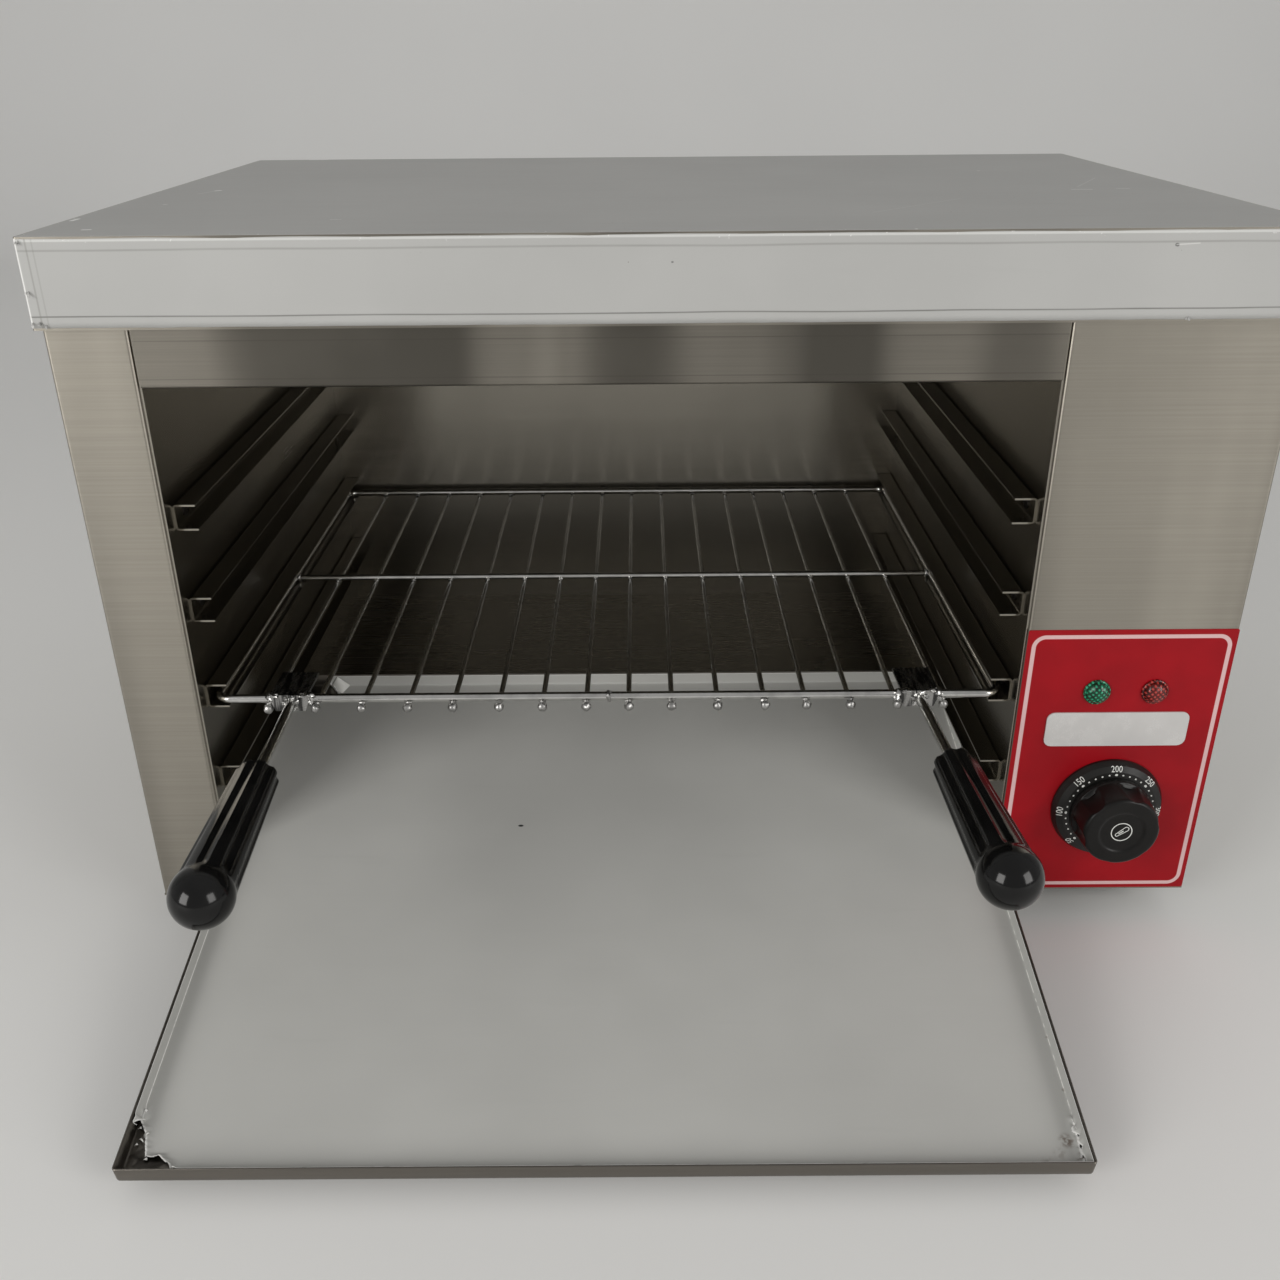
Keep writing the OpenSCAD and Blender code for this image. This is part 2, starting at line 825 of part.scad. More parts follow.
// Angle that hangs from the ceiling and carries both legs of a heater
module heater_hangers() {
    hanger_x = heater_bend_x + hanger_inset;
    color("silver")
    for (index = [0, 1])
        difference() {
            union() {
                box(
                    [hanger_x, heater_ys[2 * index] - hanger_flange, heater_z - heater_r - hanger_below],
                    [hanger_x + sheet, heater_ys[2 * index + 1] + hanger_flange, ceiling_z]
                );
                box(
                    [hanger_x, heater_ys[2 * index] - hanger_flange, ceiling_z - sheet],
                    [hanger_x + hanger_flange, heater_ys[2 * index + 1] + hanger_flange, ceiling_z]
                );
            }
            for (leg = [0, 1])
                rod_x(
                    [hanger_x - past, heater_ys[2 * index + leg], heater_z],
                    sheet + 2 * past, heater_r + bore_gap
                );
        }
}

module heater_terminals() {
    color("silver")
    for (y = heater_ys) {
        rod_x([heater_end, y, heater_z], terminal_len, terminal_r);
        rod_x([heater_end, y, heater_z], terminal_seal_len, heater_r - terminal_seal_gap);
    }
}

module sensor_bulb() {
    color([0.75, 0.5, 0.35])
    rod_y([bulb_x, bulb_back_y - bulb_len, bulb_z], bulb_len, bulb_r);
}

module capillary_tube() {
    points = [
        [dial_x + thermostat_w / 2, capillary_y, dial_z],
        [capillary_x, capillary_y, dial_z],
        [capillary_x, capillary_y, bulb_z],
        [capillary_x, entry_y, bulb_z],
        [bulb_x, entry_y, bulb_z],
        [bulb_x, bulb_back_y, bulb_z]
    ];
    color([0.75, 0.5, 0.35]) bent_bar(points, capillary_r);
}

module bulb_clips() {
    color("silver")
    for (along = [clip_inset, bulb_len - clip_inset])
        translate([bulb_x, bulb_back_y - along - clip_w / 2, bulb_z])
        difference() {
            union() {
                rod_y([0, 0, 0], clip_w, bulb_r + sheet);
                box([0, 0, -bulb_r - sheet], [bulb_gap, clip_w, bulb_r + sheet]);
            }
            rod_y([0, -past, 0], clip_w + 2 * past, bulb_r + bore_gap);
        }
}

// Controls

module thermostat_body() {
    color([0.3, 0.3, 0.3])
    difference() {
        box(
            [dial_x - thermostat_w / 2, front_y + sheet, dial_z - thermostat_w / 2],
            [dial_x + thermostat_w / 2, front_y + thermostat_d, dial_z + thermostat_w / 2]
        );
        rod_y([dial_x, front_y, dial_z], shaft_depth + shaft_end_gap, shaft_r + bore_gap);
        for (side = [-1, 1])
            rod_y(
                [dial_x + side * screw_offset, front_y, dial_z],
                dial_screw_depth + dial_screw_end_gap, dial_screw_r + bore_gap
            );
    }
}

// Screws with sunk heads that hold the scale ring and the panel to the thermostat
module thermostat_screws() {
    color("silver")
    for (side = [-1, 1])
        translate([dial_x + side * screw_offset, scale_y, dial_z])
        rotate([-90, 0, 0]) {
            cylinder(h = dial_screw_head, r1 = dial_screw_head_r, r2 = dial_screw_r);
            cylinder(h = scale_h + label_t + dial_screw_depth, r = dial_screw_r);
        }
}

module scale_ring() {
    color([0.08, 0.08, 0.08])
    difference() {
        translate([dial_x, label_y, dial_z])
        rotate([90, 0, 0])
        rotate_extrude()
        polygon([
            [0, 0],
            [scale_r, 0],
            [scale_r, scale_side_h],
            [scale_r - scale_slope_w, scale_h - scale_slope_drop],
            [scale_r - scale_brow_w, scale_h - scale_brow_drop],
            [knob_r1, scale_h],
            [0, scale_h]
        ]);
        rod_y([dial_x, scale_y - past, dial_z], scale_h + 2 * past, shaft_r + shaft_play);
        for (side = [-1, 1])
            translate([dial_x + side * screw_offset, scale_y, dial_z])
            rotate([-90, 0, 0]) {
                translate([0, 0, -past]) cylinder(h = scale_h + 2 * past, r = dial_screw_r + bore_gap);
                cylinder(
                    h = dial_screw_head, r1 = dial_screw_head_r + bore_gap, r2 = dial_screw_r + bore_gap
                );
                translate([0, 0, -past]) cylinder(h = past, r = dial_screw_head_r + bore_gap);
            }
    }
}

// Dome outside, with a stub that fills the hole in the panel
module lens(x, tint) {
    dome = lens_h - lens_rim;
    color(tint)
    translate([x, label_y, lamp_z])
    rotate([90, 0, 0]) {
        rotate_extrude()
        polygon(concat(
            [[0, 0], [lens_r, 0], [lens_r, lens_rim]],
            [
                for (k = [1:lens_steps], bow = [90 * k / lens_steps])
                [lens_r * cos(bow), lens_rim + dome * sin(bow)]
            ]
        ));
        translate([0, 0, -label_t - sheet])
            cylinder(h = label_t + sheet + lens_rim, r = lamp_hole_r - bore_gap);
    }
}

module lamp_housings() {
    color([0.85, 0.85, 0.8])
    for (x = lamp_xs) {
        rod_y([x, front_y + sheet, lamp_z], lamp_body_len, lens_r + lamp_body_rim);
        for (side = [-1, 1])
            translate([x + side * lamp_tab_x, front_y + sheet + lamp_body_len, lamp_z])
            translate([-lamp_tab_t / 2, 0, -lamp_tab_w / 2])
            cube([lamp_tab_t, lamp_tab_len, lamp_tab_w]);
    }
}

module control_label() {
    color([0.72, 0.05, 0.1])
    difference() {
        along_y(label_y, front_y)
        translate([panel_mid, base_top + label_h / 2])
        round_rect(label_w, label_h, label_corner);
        for (x = lamp_xs) rod_y([x, label_y - past, lamp_z], label_t + 2 * past, lamp_hole_r);
        rod_y([dial_x, label_y - past, dial_z], label_t + 2 * past, shaft_r + shaft_play);
        for (side = [-1, 1])
            rod_y(
                [dial_x + side * screw_offset, label_y - past, dial_z],
                label_t + 2 * past, dial_screw_r + bore_gap
            );
    }
}

module blank_plate() {
    color("white")
    along_y(label_y - plate_t, label_y)
    translate([right_x - plate_inset, plate_z])
    round_rect(plate_w, plate_h, plate_corner);
}

module thermostat_shaft() {
    color("silver")
    difference() {
        rod_y([dial_x, shaft_tip_y, dial_z], front_y + shaft_depth - shaft_tip_y, shaft_r);
        box(
            [dial_x - shaft_r, shaft_tip_y - past, dial_z + shaft_r - shaft_flat],
            [dial_x + shaft_r, knob_y, dial_z + shaft_r + past]
        );
    }
}

module knob() {
    drum_h = knob_h - skirt_h - face_edge;
    color([0.06, 0.06, 0.06])
    translate([dial_x, knob_y, dial_z])
    rotate([90, 0, 0])
    difference() {
        union() {
            cylinder(h = skirt_h, r = knob_r1);
            translate([0, 0, skirt_h]) cylinder(h = drum_h, r1 = knob_r1, r2 = knob_r2);
            translate([0, 0, knob_h - face_edge])
                cylinder(h = face_edge, r1 = knob_r2, r2 = knob_r2 - face_edge);
        }
        for (i = [0:scallop_count - 1])
            rotate([0, 0, scallop_turn + i * 360 / scallop_count])
            translate([knob_r1 + scallop_r - scallop_depth, 0, scallop_z])
            cylinder(h = knob_h, r = scallop_r);
        translate([0, 0, knob_h - cap_t]) cylinder(h = cap_t + past, r = cap_r + bore_gap);
        translate([0, 0, -past])
            cylinder(h = past + shaft_in_knob + shaft_tip_gap, r = shaft_r + bore_gap);
    }
}

module knob_cap() {
    color([0.1, 0.1, 0.1])
    rod_y([dial_x, knob_y - knob_h, dial_z], cap_t, cap_r);
}

// Supply

module terminal_block() {
    color([0.9, 0.9, 0.86])
    difference() {
        box(
            [gland_x - block_w / 2, block_y - block_d / 2, base_top],
            [gland_x + block_w / 2, block_y + block_d / 2, base_top + block_h]
        );
        for (i = [-1:1])
            rod_y(
                [gland_x + i * block_pitch, block_y - block_d / 2 - past, base_top + block_bore_z],
                block_d + 2 * past, block_bore_r
            );
    }
}

module earth_stud() {
    color("gold")
    translate([stud_x, block_y, 0]) {
        translate([0, 0, foot_h - stud_head_h]) cylinder(h = stud_head_h, r = stud_head_r);
        translate([0, 0, foot_h - stud_head_h]) cylinder(h = stud_head_h + stud_len, r = foot_screw_r);
        translate([0, 0, base_top]) cylinder(h = nut_h, r = nut_r, $fn = 6);
    }
}

// Leads: supply to thermostat, thermostat to front heater, heater to heater,
// rear heater to supply, and one from each lamp to the thermostat
module wiring() {
    block_front = block_y - block_d / 2;
    body_back = front_y + thermostat_d;
    lead_z = base_top + block_bore_z;
    power_x = dial_x - power_lead_x;
    power_y = body_back + power_lead_run;
    high_z = heater_z - power_lead_drop;
    post_x = heater_end + terminal_len;
    riser_x = post_x + return_lead_run;
    supply_x = gland_x - block_pitch;
    supply_y = body_back + supply_lead_run;
    tab_y = front_y + sheet + lamp_body_len + lamp_tab_len;
    $fn = 16;
    color([0.75, 0.75, 0.72]) {
        bent_bar([
            [supply_x, block_front, lead_z],
            [supply_x, supply_y, lead_z],
            [supply_x, supply_y, dial_z],
            [supply_x, body_back, dial_z]
        ], lead_r);
        bent_bar([
            [power_x, body_back, dial_z + power_lead_z],
            [power_x, power_y, dial_z + power_lead_z],
            [power_x, power_y, high_z],
            [power_x, heater_ys[0], high_z],
            [power_x, heater_ys[0], heater_z],
            [post_x, heater_ys[0], heater_z]
        ], lead_r);
        bent_bar([
            [post_x, heater_ys[1], heater_z],
            [post_x + link_lead_run, heater_ys[1], heater_z],
            [post_x + link_lead_run, heater_ys[2], heater_z],
            [post_x, heater_ys[2], heater_z]
        ], lead_r);
        bent_bar([
            [post_x, heater_ys[3], heater_z],
            [riser_x, heater_ys[3], heater_z],
            [riser_x, heater_ys[3], lead_z],
            [gland_x, heater_ys[3], lead_z],
            [gland_x, block_front, lead_z]
        ], lead_r);
        for (x = lamp_xs)
            bent_bar([
                [x - lamp_tab_x, tab_y, lamp_z],
                [x - lamp_tab_x, tab_y + lamp_lead_run, lamp_z],
                [x - lamp_tab_x, tab_y + lamp_lead_run, dial_z + lamp_lead_z],
                [x - lamp_tab_x, body_back, dial_z + lamp_lead_z]
            ], lamp_lead_r);
    }
}

module cord_gland() {
    color([0.12, 0.12, 0.12])
    difference() {
        union() {
            rod_y([gland_x, back_y - gland_thread, gland_z], gland_thread, gland_r);
            translate([gland_x, back_y, gland_z])
                rotate([-90, 0, 0])
                cylinder(h = gland_collar, r = gland_flat_r, $fn = 6);
            rod_y([gland_x, back_y + gland_collar, gland_z], gland_nose, gland_r + gland_wall);
        }
        rod_y(
            [gland_x, back_y - gland_thread - past, gland_z],
            gland_thread + gland_collar + gland_nose + 2 * past, cord_hole_r
        );
    }
}

module gland_nut() {
    color([0.12, 0.12, 0.12])
    difference() {
        translate([gland_x, back_y - sheet - gland_nut_h, gland_z])
        rotate([-90, 0, 0])
        cylinder(h = gland_nut_h, r = gland_flat_r, $fn = 6);
        rod_y([gland_x, back_y - gland_thread, gland_z], gland_thread + past, gland_r + bore_gap);
    }
}

// Feet and fasteners

module feet() {
    recess_h = foot_h - foot_screw_depth;
    color([0.08, 0.08, 0.08])
    for (x = foot_xs, y = foot_ys)
        translate([x, y, 0])
        difference() {
            cylinder(h = foot_h, r1 = foot_r, r2 = foot_r + foot_flare);
            translate([0, 0, -past]) cylinder(h = recess_h + past, r = foot_recess_r);
            cylinder(h = foot_h + past, r = foot_screw_r + bore_gap);
        }
}

module foot_screws() {
    color("silver")
    for (x = foot_xs, y = foot_ys)
        translate([x, y, foot_h - foot_screw_depth]) {
            translate([0, 0, -foot_screw_head_h]) cylinder(h = foot_screw_head_h, r = foot_screw_head_r);
            cylinder(h = foot_screw_depth + sheet + nut_h + screw_end, r = foot_screw_r);
        }
}

module foot_nuts() {
    color("silver")
    for (x = foot_xs, y = foot_ys)
        translate([x, y, base_top])
        difference() {
            cylinder(h = nut_h, r = nut_r, $fn = 6);
            translate([0, 0, -past]) cylinder(h = nut_h + 2 * past, r = foot_screw_r + bore_gap);
        }
}

module case_screw() {
    rotate([90, 0, 0]) {
        cylinder(h = screw_len, r = screw_r);
        translate([0, 0, -screw_head_h]) cylinder(h = screw_head_h, r = screw_head_r);
    }
}

module case_screws() {
    color("silver") {
        for (side = [-1, 1], z = back_screw_zs)
            translate([side * back_screw_x, back_y, z]) case_screw();
        for (x = cover_screw_xs)
            translate([x, back_y + cover_over + film, cover_screw_z]) case_screw();
    }
}

// Rack

module corner_bend(x, y, angle) {
    translate([x, y, frame_z])
    rotate([0, 0, angle])
    rotate_extrude(angle = 90)
    translate([frame_corner, 0])
    circle(frame_r);
}

module rack_frame() {
    left = rack_x - rack_w / 2;
    right = rack_x + rack_w / 2;
    c = frame_corner;
    color(chrome) {
        for (x = [left, right])
            rod_y([x, rack_front_y + c, frame_z], rack_d - 2 * c, frame_r);
        for (y = [rack_front_y, rack_back_y])
            rod_x([left + c, y, frame_z], rack_w - 2 * c, frame_r);
        corner_bend(right - c, rack_back_y - c, 0);
        corner_bend(left + c, rack_back_y - c, 90);
        corner_bend(left + c, rack_front_y + c, 180);
        corner_bend(right - c, rack_front_y + c, 270);
    }
}

module rack_bar() {
    len = rack_w - 2 * frame_r - 2 * weld_gap;
    color(chrome)
    rod_x([rack_x - len / 2, bar_y, frame_z - frame_r + bar_r], len, bar_r);
}

module rack_wires() {
    start = rack_front_y - frame_r - wire_nose + wire_r;
    end = rack_back_y + frame_r + wire_tail - wire_r;
    color(chrome)
    for (i = [0:wire_count - 1]) {
        rod_y([wire_x(i), start, wire_z], end - start, wire_r);
        for (y = [start, end]) translate([wire_x(i), y, wire_z]) sphere(wire_r);
    }
}

// Plate over the front wire with a tapered flange that hangs in front of it
module bracket(x) {
    plate_z0 = frame_z + frame_r + weld_gap;
    color(chrome) {
        box(
            [x - bracket_w / 2, flange_front_y, plate_z0],
            [x + bracket_w / 2, flange_front_y + bracket_d, plate_z0 + bracket_t]
        );
        along_y(flange_front_y, flange_back_y)
        translate([x, plate_z0 + bracket_t])
        polygon([
            [-bracket_w / 2, 0],
            [bracket_w / 2, 0],
            [bracket_w / 2, -bracket_shoulder],
            [bracket_low_w / 2, -bracket_h],
            [-bracket_low_w / 2, -bracket_h],
            [-bracket_w / 2, -bracket_shoulder]
        ]);
    }
}

// Turns a handle drawn along +Z so that it points forward from the bracket
module placed_handle(x, pitch, yaw) {
    translate([x, flange_front_y, frame_z - rod_drop]) rotate([90 + pitch, 0, yaw]) children();
}

module handle_rod(x, pitch, yaw) {
    color(chrome)
    difference() {
        placed_handle(x, pitch, yaw)
            translate([0, 0, -2 * past]) cylinder(h = rod_len + rod_in_grip + 2 * past, r = rod_r);
        box(
            [x - rod_trim, flange_front_y, frame_z - rod_trim],
            [x + rod_trim, flange_front_y + rod_trim, frame_z + rod_trim]
        );
    }
}

module grip(x, pitch, yaw) {
    cone_len = grip_len - grip_chamfer_h;
    lean = atan((grip_r2 - grip_r1) / cone_len);
    color([0.05, 0.05, 0.05])
    placed_handle(x, pitch, yaw)
    translate([0, 0, rod_len])
    difference() {
        union() {
            cylinder(h = grip_chamfer_h, r1 = grip_r1 - grip_chamfer_w, r2 = grip_r1);
            translate([0, 0, grip_chamfer_h]) cylinder(h = cone_len, r1 = grip_r1, r2 = grip_r2);
            translate([0, 0, grip_len]) sphere(ball_r);
        }
        for (i = [0:flute_count - 1])
            rotate([0, 0, i * 360 / flute_count])
            translate([grip_r1 + flute_r - flute_depth, 0, -2 * past])
            rotate([0, lean, 0])
            cylinder(h = grip_len - flute_end_gap + 2 * past, r = flute_r);
        translate([0, 0, -past]) cylinder(h = past + rod_in_grip + rod_end_gap, r = rod_r + bore_gap);
    }
}

// Crumb tray

module sill_rod() {
    color(chrome)
    rod_x(
        [cavity_l - sheet, sill_rod_y, sill_z], cavity_r - cavity_l + 2 * sheet, sill_r
    );
}

// Moves what is drawn for the closed, level tray to where the drawn tray lies:
// out along the runner, then tipped about the sill rod
module drawn() {
    translate([0, sill_rod_y, sill_z])
    rotate([tray_tilt, 0, 0])
    translate([cavity_x, tray_recess - sill_y - tray_out, sill_r + run_gap])
    children();
}

module tray_pan() {
    color(steel)
    drawn()
    difference() {
        box([-tray_w / 2, 0, 0], [tray_w / 2, tray_d, tray_lip]);
        box([sheet - tray_w / 2, sheet, sheet], [tray_w / 2 - sheet, tray_d - sheet, tray_lip + past]);
    }
}

module tray_film() {
    inset = sheet + tray_film_edge;
    color([0.85, 0.85, 0.85])
    drawn()
    box([inset - tray_w / 2, inset, sheet], [tray_w / 2 - inset, tray_d - inset, sheet + film]);
}

base_pan();
left_panel();
right_panel();
header();
back_panel();
top_cover();
cover_film();
cavity_left_wall();
cavity_right_wall();
cavity_back_wall();
cavity_ceiling();
cavity_floor();
rails(1);  // rails_level_1
rails(2);  // rails_level_2
rails(3);  // rails_level_3
rails(4);  // rails_level_4
rail_rivets();
heater(0);  // front_heater
heater(1);  // rear_heater
heater_ferrules();
heater_hangers();
heater_terminals();
thermostat_body();
thermostat_screws();
capillary_tube();
sensor_bulb();
bulb_clips();
scale_ring();
lens(green_x, [0.1, 0.75, 0.3]);  // green_lens
lens(red_x, [0.9, 0.15, 0.1]);  // red_lens
lamp_housings();
control_label();
blank_plate();
terminal_block();
earth_stud();
wiring();
cord_gland();
gland_nut();
feet();
foot_screws();
foot_nuts();
case_screws();
rack_frame();
rack_bar();
rack_wires();
bracket(left_bracket_x);  // left_bracket
bracket(right_bracket_x);  // right_bracket
handle_rod(left_bracket_x + left_rod_x, left_pitch, left_yaw);  // left_rod
handle_rod(right_bracket_x + right_rod_x, right_pitch, right_yaw);  // right_rod
grip(left_bracket_x + left_rod_x, left_pitch, left_yaw);  // left_grip
grip(right_bracket_x + right_rod_x, right_pitch, right_yaw);  // right_grip
sill_rod();
tray_pan();
tray_film();
thermostat_shaft();
knob();
knob_cap();
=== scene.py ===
"""Dresses a countertop grill: sheet metal finishes, film, wire rack, grips, dial, lamps and the studio."""

import math

import bmesh
import bpy
import numpy as np
from bpy.props import FloatProperty, FloatVectorProperty, IntProperty, PointerProperty
from mathutils import Matrix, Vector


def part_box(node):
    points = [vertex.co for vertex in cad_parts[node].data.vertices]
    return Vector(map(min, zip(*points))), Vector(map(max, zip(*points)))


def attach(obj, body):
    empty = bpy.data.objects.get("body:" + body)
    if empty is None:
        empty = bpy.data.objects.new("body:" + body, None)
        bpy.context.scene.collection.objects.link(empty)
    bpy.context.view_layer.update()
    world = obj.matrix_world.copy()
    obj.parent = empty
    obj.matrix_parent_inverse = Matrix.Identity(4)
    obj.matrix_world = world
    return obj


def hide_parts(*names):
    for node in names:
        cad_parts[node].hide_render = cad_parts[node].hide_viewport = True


bl_info = {
    "name": "Countertop grill",
    "version": (1, 0, 0),
    "blender": (4, 5, 0),
    "location": "View3D > Sidebar > Grill",
    "description": "Finishes and fine pieces of a countertop grill with a wire rack and a crumb tray",
    "category": "Object",
}

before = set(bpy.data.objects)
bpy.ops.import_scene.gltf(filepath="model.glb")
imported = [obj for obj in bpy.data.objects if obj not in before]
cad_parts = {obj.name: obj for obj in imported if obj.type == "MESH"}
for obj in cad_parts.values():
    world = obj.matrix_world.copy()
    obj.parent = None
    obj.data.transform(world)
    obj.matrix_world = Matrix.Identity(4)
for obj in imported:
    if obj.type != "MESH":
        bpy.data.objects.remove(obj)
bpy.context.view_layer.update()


# Settings ---------------------------------------------------------------


def length(name, description, default, low=0.0, high=2.0):
    """A size in metres."""
    return FloatProperty(
        name=name, description=description, default=default, min=low, max=high, precision=5, unit="LENGTH"
    )


def angle(name, description, degrees):
    """An angle, stated in degrees."""
    return FloatProperty(name=name, description=description, default=math.radians(degrees), unit="ROTATION")


def place(name, description, default):
    """A point, in metres."""
    return FloatVectorProperty(name=name, description=description, default=default, size=3, unit="LENGTH")


def power(name, description, watts):
    """The power of a lamp."""
    return FloatProperty(name=name, description=description, default=watts, min=0.0, unit="POWER")


def colour(name, description, default):
    """A linear colour."""
    return FloatVectorProperty(
        name=name, description=description, default=default, size=3, min=0.0, max=1.0, subtype="COLOR"
    )


class GrillMetals(bpy.types.PropertyGroup):
    """Colours and wear of the bare metals."""

    sheet: colour("Sheet", "Stainless sheet of the cabinet", (0.36, 0.335, 0.29))
    liner: colour("Liner", "Stainless sheet of the cavity", (0.31, 0.29, 0.25))
    # Painted shade: the tray's steel is painted dark, standing for the dark surroundings it mirrors.
    tray: colour("Tray", "Steel of the crumb tray", (0.19, 0.175, 0.155))
    chrome: colour("Chrome", "Bright wire of the rack", (0.66, 0.655, 0.64))
    zinc: colour("Zinc", "Plated screws and nuts", (0.55, 0.55, 0.53))
    heater: colour("Heater", "Oxidised tube of the heaters", (0.075, 0.07, 0.066))


class GrillCover(bpy.types.PropertyGroup):
    """The protective film on the top cover."""

    film: colour("Film", "White protective film", (0.43, 0.43, 0.42))
    corner: length("Corner", "Outer radius of the cover's upright corners", 0.0017)
    edge: length("Edge", "Outer radius of the cover's top edges", 0.0016)
    upper_crease: length("Upper crease", "Distance from the top to the upper crease", 0.0062)
    lower_crease: length("Lower crease", "Distance from the film's lower edge to the lower crease", 0.0052)


class GrillRack(bpy.types.PropertyGroup):
    """Welds of the wire rack."""

    bead: length("Bead", "Radius of the weld at the front end of a wire", 0.0027)
    butt: length("Butt weld", "Place across the front of the weld that closes the frame", -0.0358, -1.0)


class GrillHandles(bpy.types.PropertyGroup):
    """The two handles of the rack."""

    bakelite: colour("Bakelite", "Polished black grips", (0.005, 0.005, 0.005))
    left_start: place("Left start", "Where the left rod leaves its bracket", (-0.2117, -0.19132, 0.1427))
    right_start: place("Right start", "Where the right rod leaves its bracket", (0.1367, -0.19132, 0.1427))
    left_drop: angle("Left drop", "How far the left handle points down", 3.5)
    right_drop: angle("Right drop", "How far the right handle points down", 0.7)
    left_swing: angle("Left swing", "How far the left handle points to the right", -0.2)
    right_swing: angle("Right swing", "How far the right handle points to the right", 2.4)
    rod: length("Rod", "Length of rod between a bracket and its grip", 0.0675)
    grip: length("Grip", "Length of a grip up to the middle of its ball", 0.0915)
    thin: length("Thin end", "Radius of a grip at its thin end", 0.011)
    thick: length("Thick end", "Radius of a grip where it meets the ball", 0.014)
    ball: length("Ball", "Radius of the ball", 0.0147)
    flute: length("Flute depth", "Depth of a flute", 0.0011)
    flutes: IntProperty(name="Flutes", description="Flutes round a grip", default=8, min=4, max=12)


class GrillTray(bpy.types.PropertyGroup):
    """The crumb tray and its film."""

    film: colour("Film", "White protective film", (0.51, 0.51, 0.49))
    width: length("Width", "Width of the tray", 0.440)
    depth: length("Depth", "Depth of the tray", 0.357)
    lip: length("Lip", "Height of the lips", 0.010)
    sheet: length("Sheet", "Thickness of the sheet", 0.001)
    bare: length("Bare strip", "Strip along the top of the lips that the film leaves bare", 0.0007)
    fold: length("Fold", "Radius of the film where it turns up", 0.0012)
    round: length("Round corners", "Radius of the lower corners of the front and rear lips", 0.0045)
    middle: length("Middle", "Place of the tray's middle", -0.0357, -1.0)
    pivot: place("Pivot", "Axis of the sill rod", (0.0, -0.1965, 0.0451))
    out: length("Out", "Distance from the pivot to the front of the drawn tray", 0.2038)
    rise: length("Rise", "Height of the tray's floor over the rod's axis", 0.0033)
    slope: angle("Slope", "How far the drawn tray tips", 10.7)


class GrillControls(bpy.types.PropertyGroup):
    """The dial, its scale, the lamps and the label."""

    black: colour("Black", "Moulded black of the knob", (0.006, 0.0055, 0.005))
    marks: colour("Marks", "Printed numbers, dots and signs", (0.72, 0.73, 0.70))
    red: colour("Red", "Ground of the label", (0.30, 0.001, 0.006))
    line: colour("Line", "Printed border of the label", (0.66, 0.44, 0.44))
    plate: colour("Plate", "Blank plate", (0.55, 0.54, 0.53))
    green: colour("Green", "Power lamp", (0.004, 0.20, 0.085))
    lamp_red: colour("Lamp red", "Heating lamp", (0.30, 0.012, 0.008))
    skirt: length("Skirt", "Radius of the knob's skirt", 0.0225)
    face: length("Face", "Radius of the knob's face", 0.0208)
    knob: length("Knob", "Height of the knob", 0.020)
    dish: length("Dish", "Radius of the dish in the knob's face", 0.01185)
    dots: length("Dots", "Radius of the ring of dots", 0.0243)
    numbers: length("Numbers", "Radius of the numbers' baseline", 0.02625)
    digit: length("Digit", "Height of a digit", 0.0034)
    first: angle("First", "Angle of the first number on the scale", 226.0)
    step: angle("Step", "Angle from one number to the next", 45.5)
    sign: length("Sign", "Radius of the ring round the sign on the knob", 0.0056)
    lens: length("Lens", "Radius of a lamp's lens", 0.0073)
    dome: length("Dome", "How far a lens stands out", 0.005)


class GrillStudio(bpy.types.PropertyGroup):
    """Floor, backdrop, lamps and camera."""

    floor: colour("Floor", "Pale floor and backdrop", (0.84, 0.84, 0.83))
    left: power("Left", "Power of the left softbox", 30.0)
    right: power("Right", "Power of the right softbox", 24.0)
    sky: FloatProperty(name="Sky", description="Strength of the room's light", default=0.40, min=0.0)
    camera: place("Camera", "Place of the camera", (-0.0172, -0.7885, 0.4702))
    pitch: angle("Pitch", "How far the camera looks down", 25.91)
    yaw: angle("Yaw", "How far the camera looks to the right", -0.09)
    roll: angle("Roll", "How far the camera is rolled", -0.48)
    focal: FloatProperty(name="Focal length", description="Focal length in millimetres", default=34.532)


# Shader maths -----------------------------------------------------------


class Wire:
    """One shader socket. Sums and products of wires and numbers add Math nodes."""

    def __init__(self, finish, socket):
        self.finish, self.socket = finish, socket

    def maths(self, operation, *values):
        """A Math node on these values."""
        return self.finish.node("Math", {"operation": operation}, dict(enumerate(values)))

    def __add__(self, other):
        return self.maths("ADD", self, other)

    def __radd__(self, other):
        return self.maths("ADD", other, self)

    def __sub__(self, other):
        return self.maths("SUBTRACT", self, other)

    def __rsub__(self, other):
        return self.maths("SUBTRACT", other, self)

    def __mul__(self, other):
        return self.maths("MULTIPLY", self, other)

    def __lt__(self, other):
        return self.maths("LESS_THAN", self, other)

    def size(self):
        """Without its sign."""
        return self.maths("ABSOLUTE", self)

    def least(self, other):
        """The smaller of the two."""
        return self.maths("MINIMUM", self, other)

    def most(self, other):
        """The larger of the two."""
        return self.maths("MAXIMUM", self, other)

    def wave(self):
        """The sine."""
        return self.maths("SINE", self)

    def root(self):
        """The square root."""
        return self.maths("SQRT", self)

    def ramp(self, low, high):
        """0 up to low, 1 from high on, smooth between. Low may be above high."""
        first, last = (0.0, 1.0) if low < high else (1.0, 0.0)
        sockets = {0: self, 1: min(low, high), 2: max(low, high), 3: first, 4: last}
        return self.finish.node("MapRange", {"interpolation_type": "SMOOTHSTEP"}, sockets)


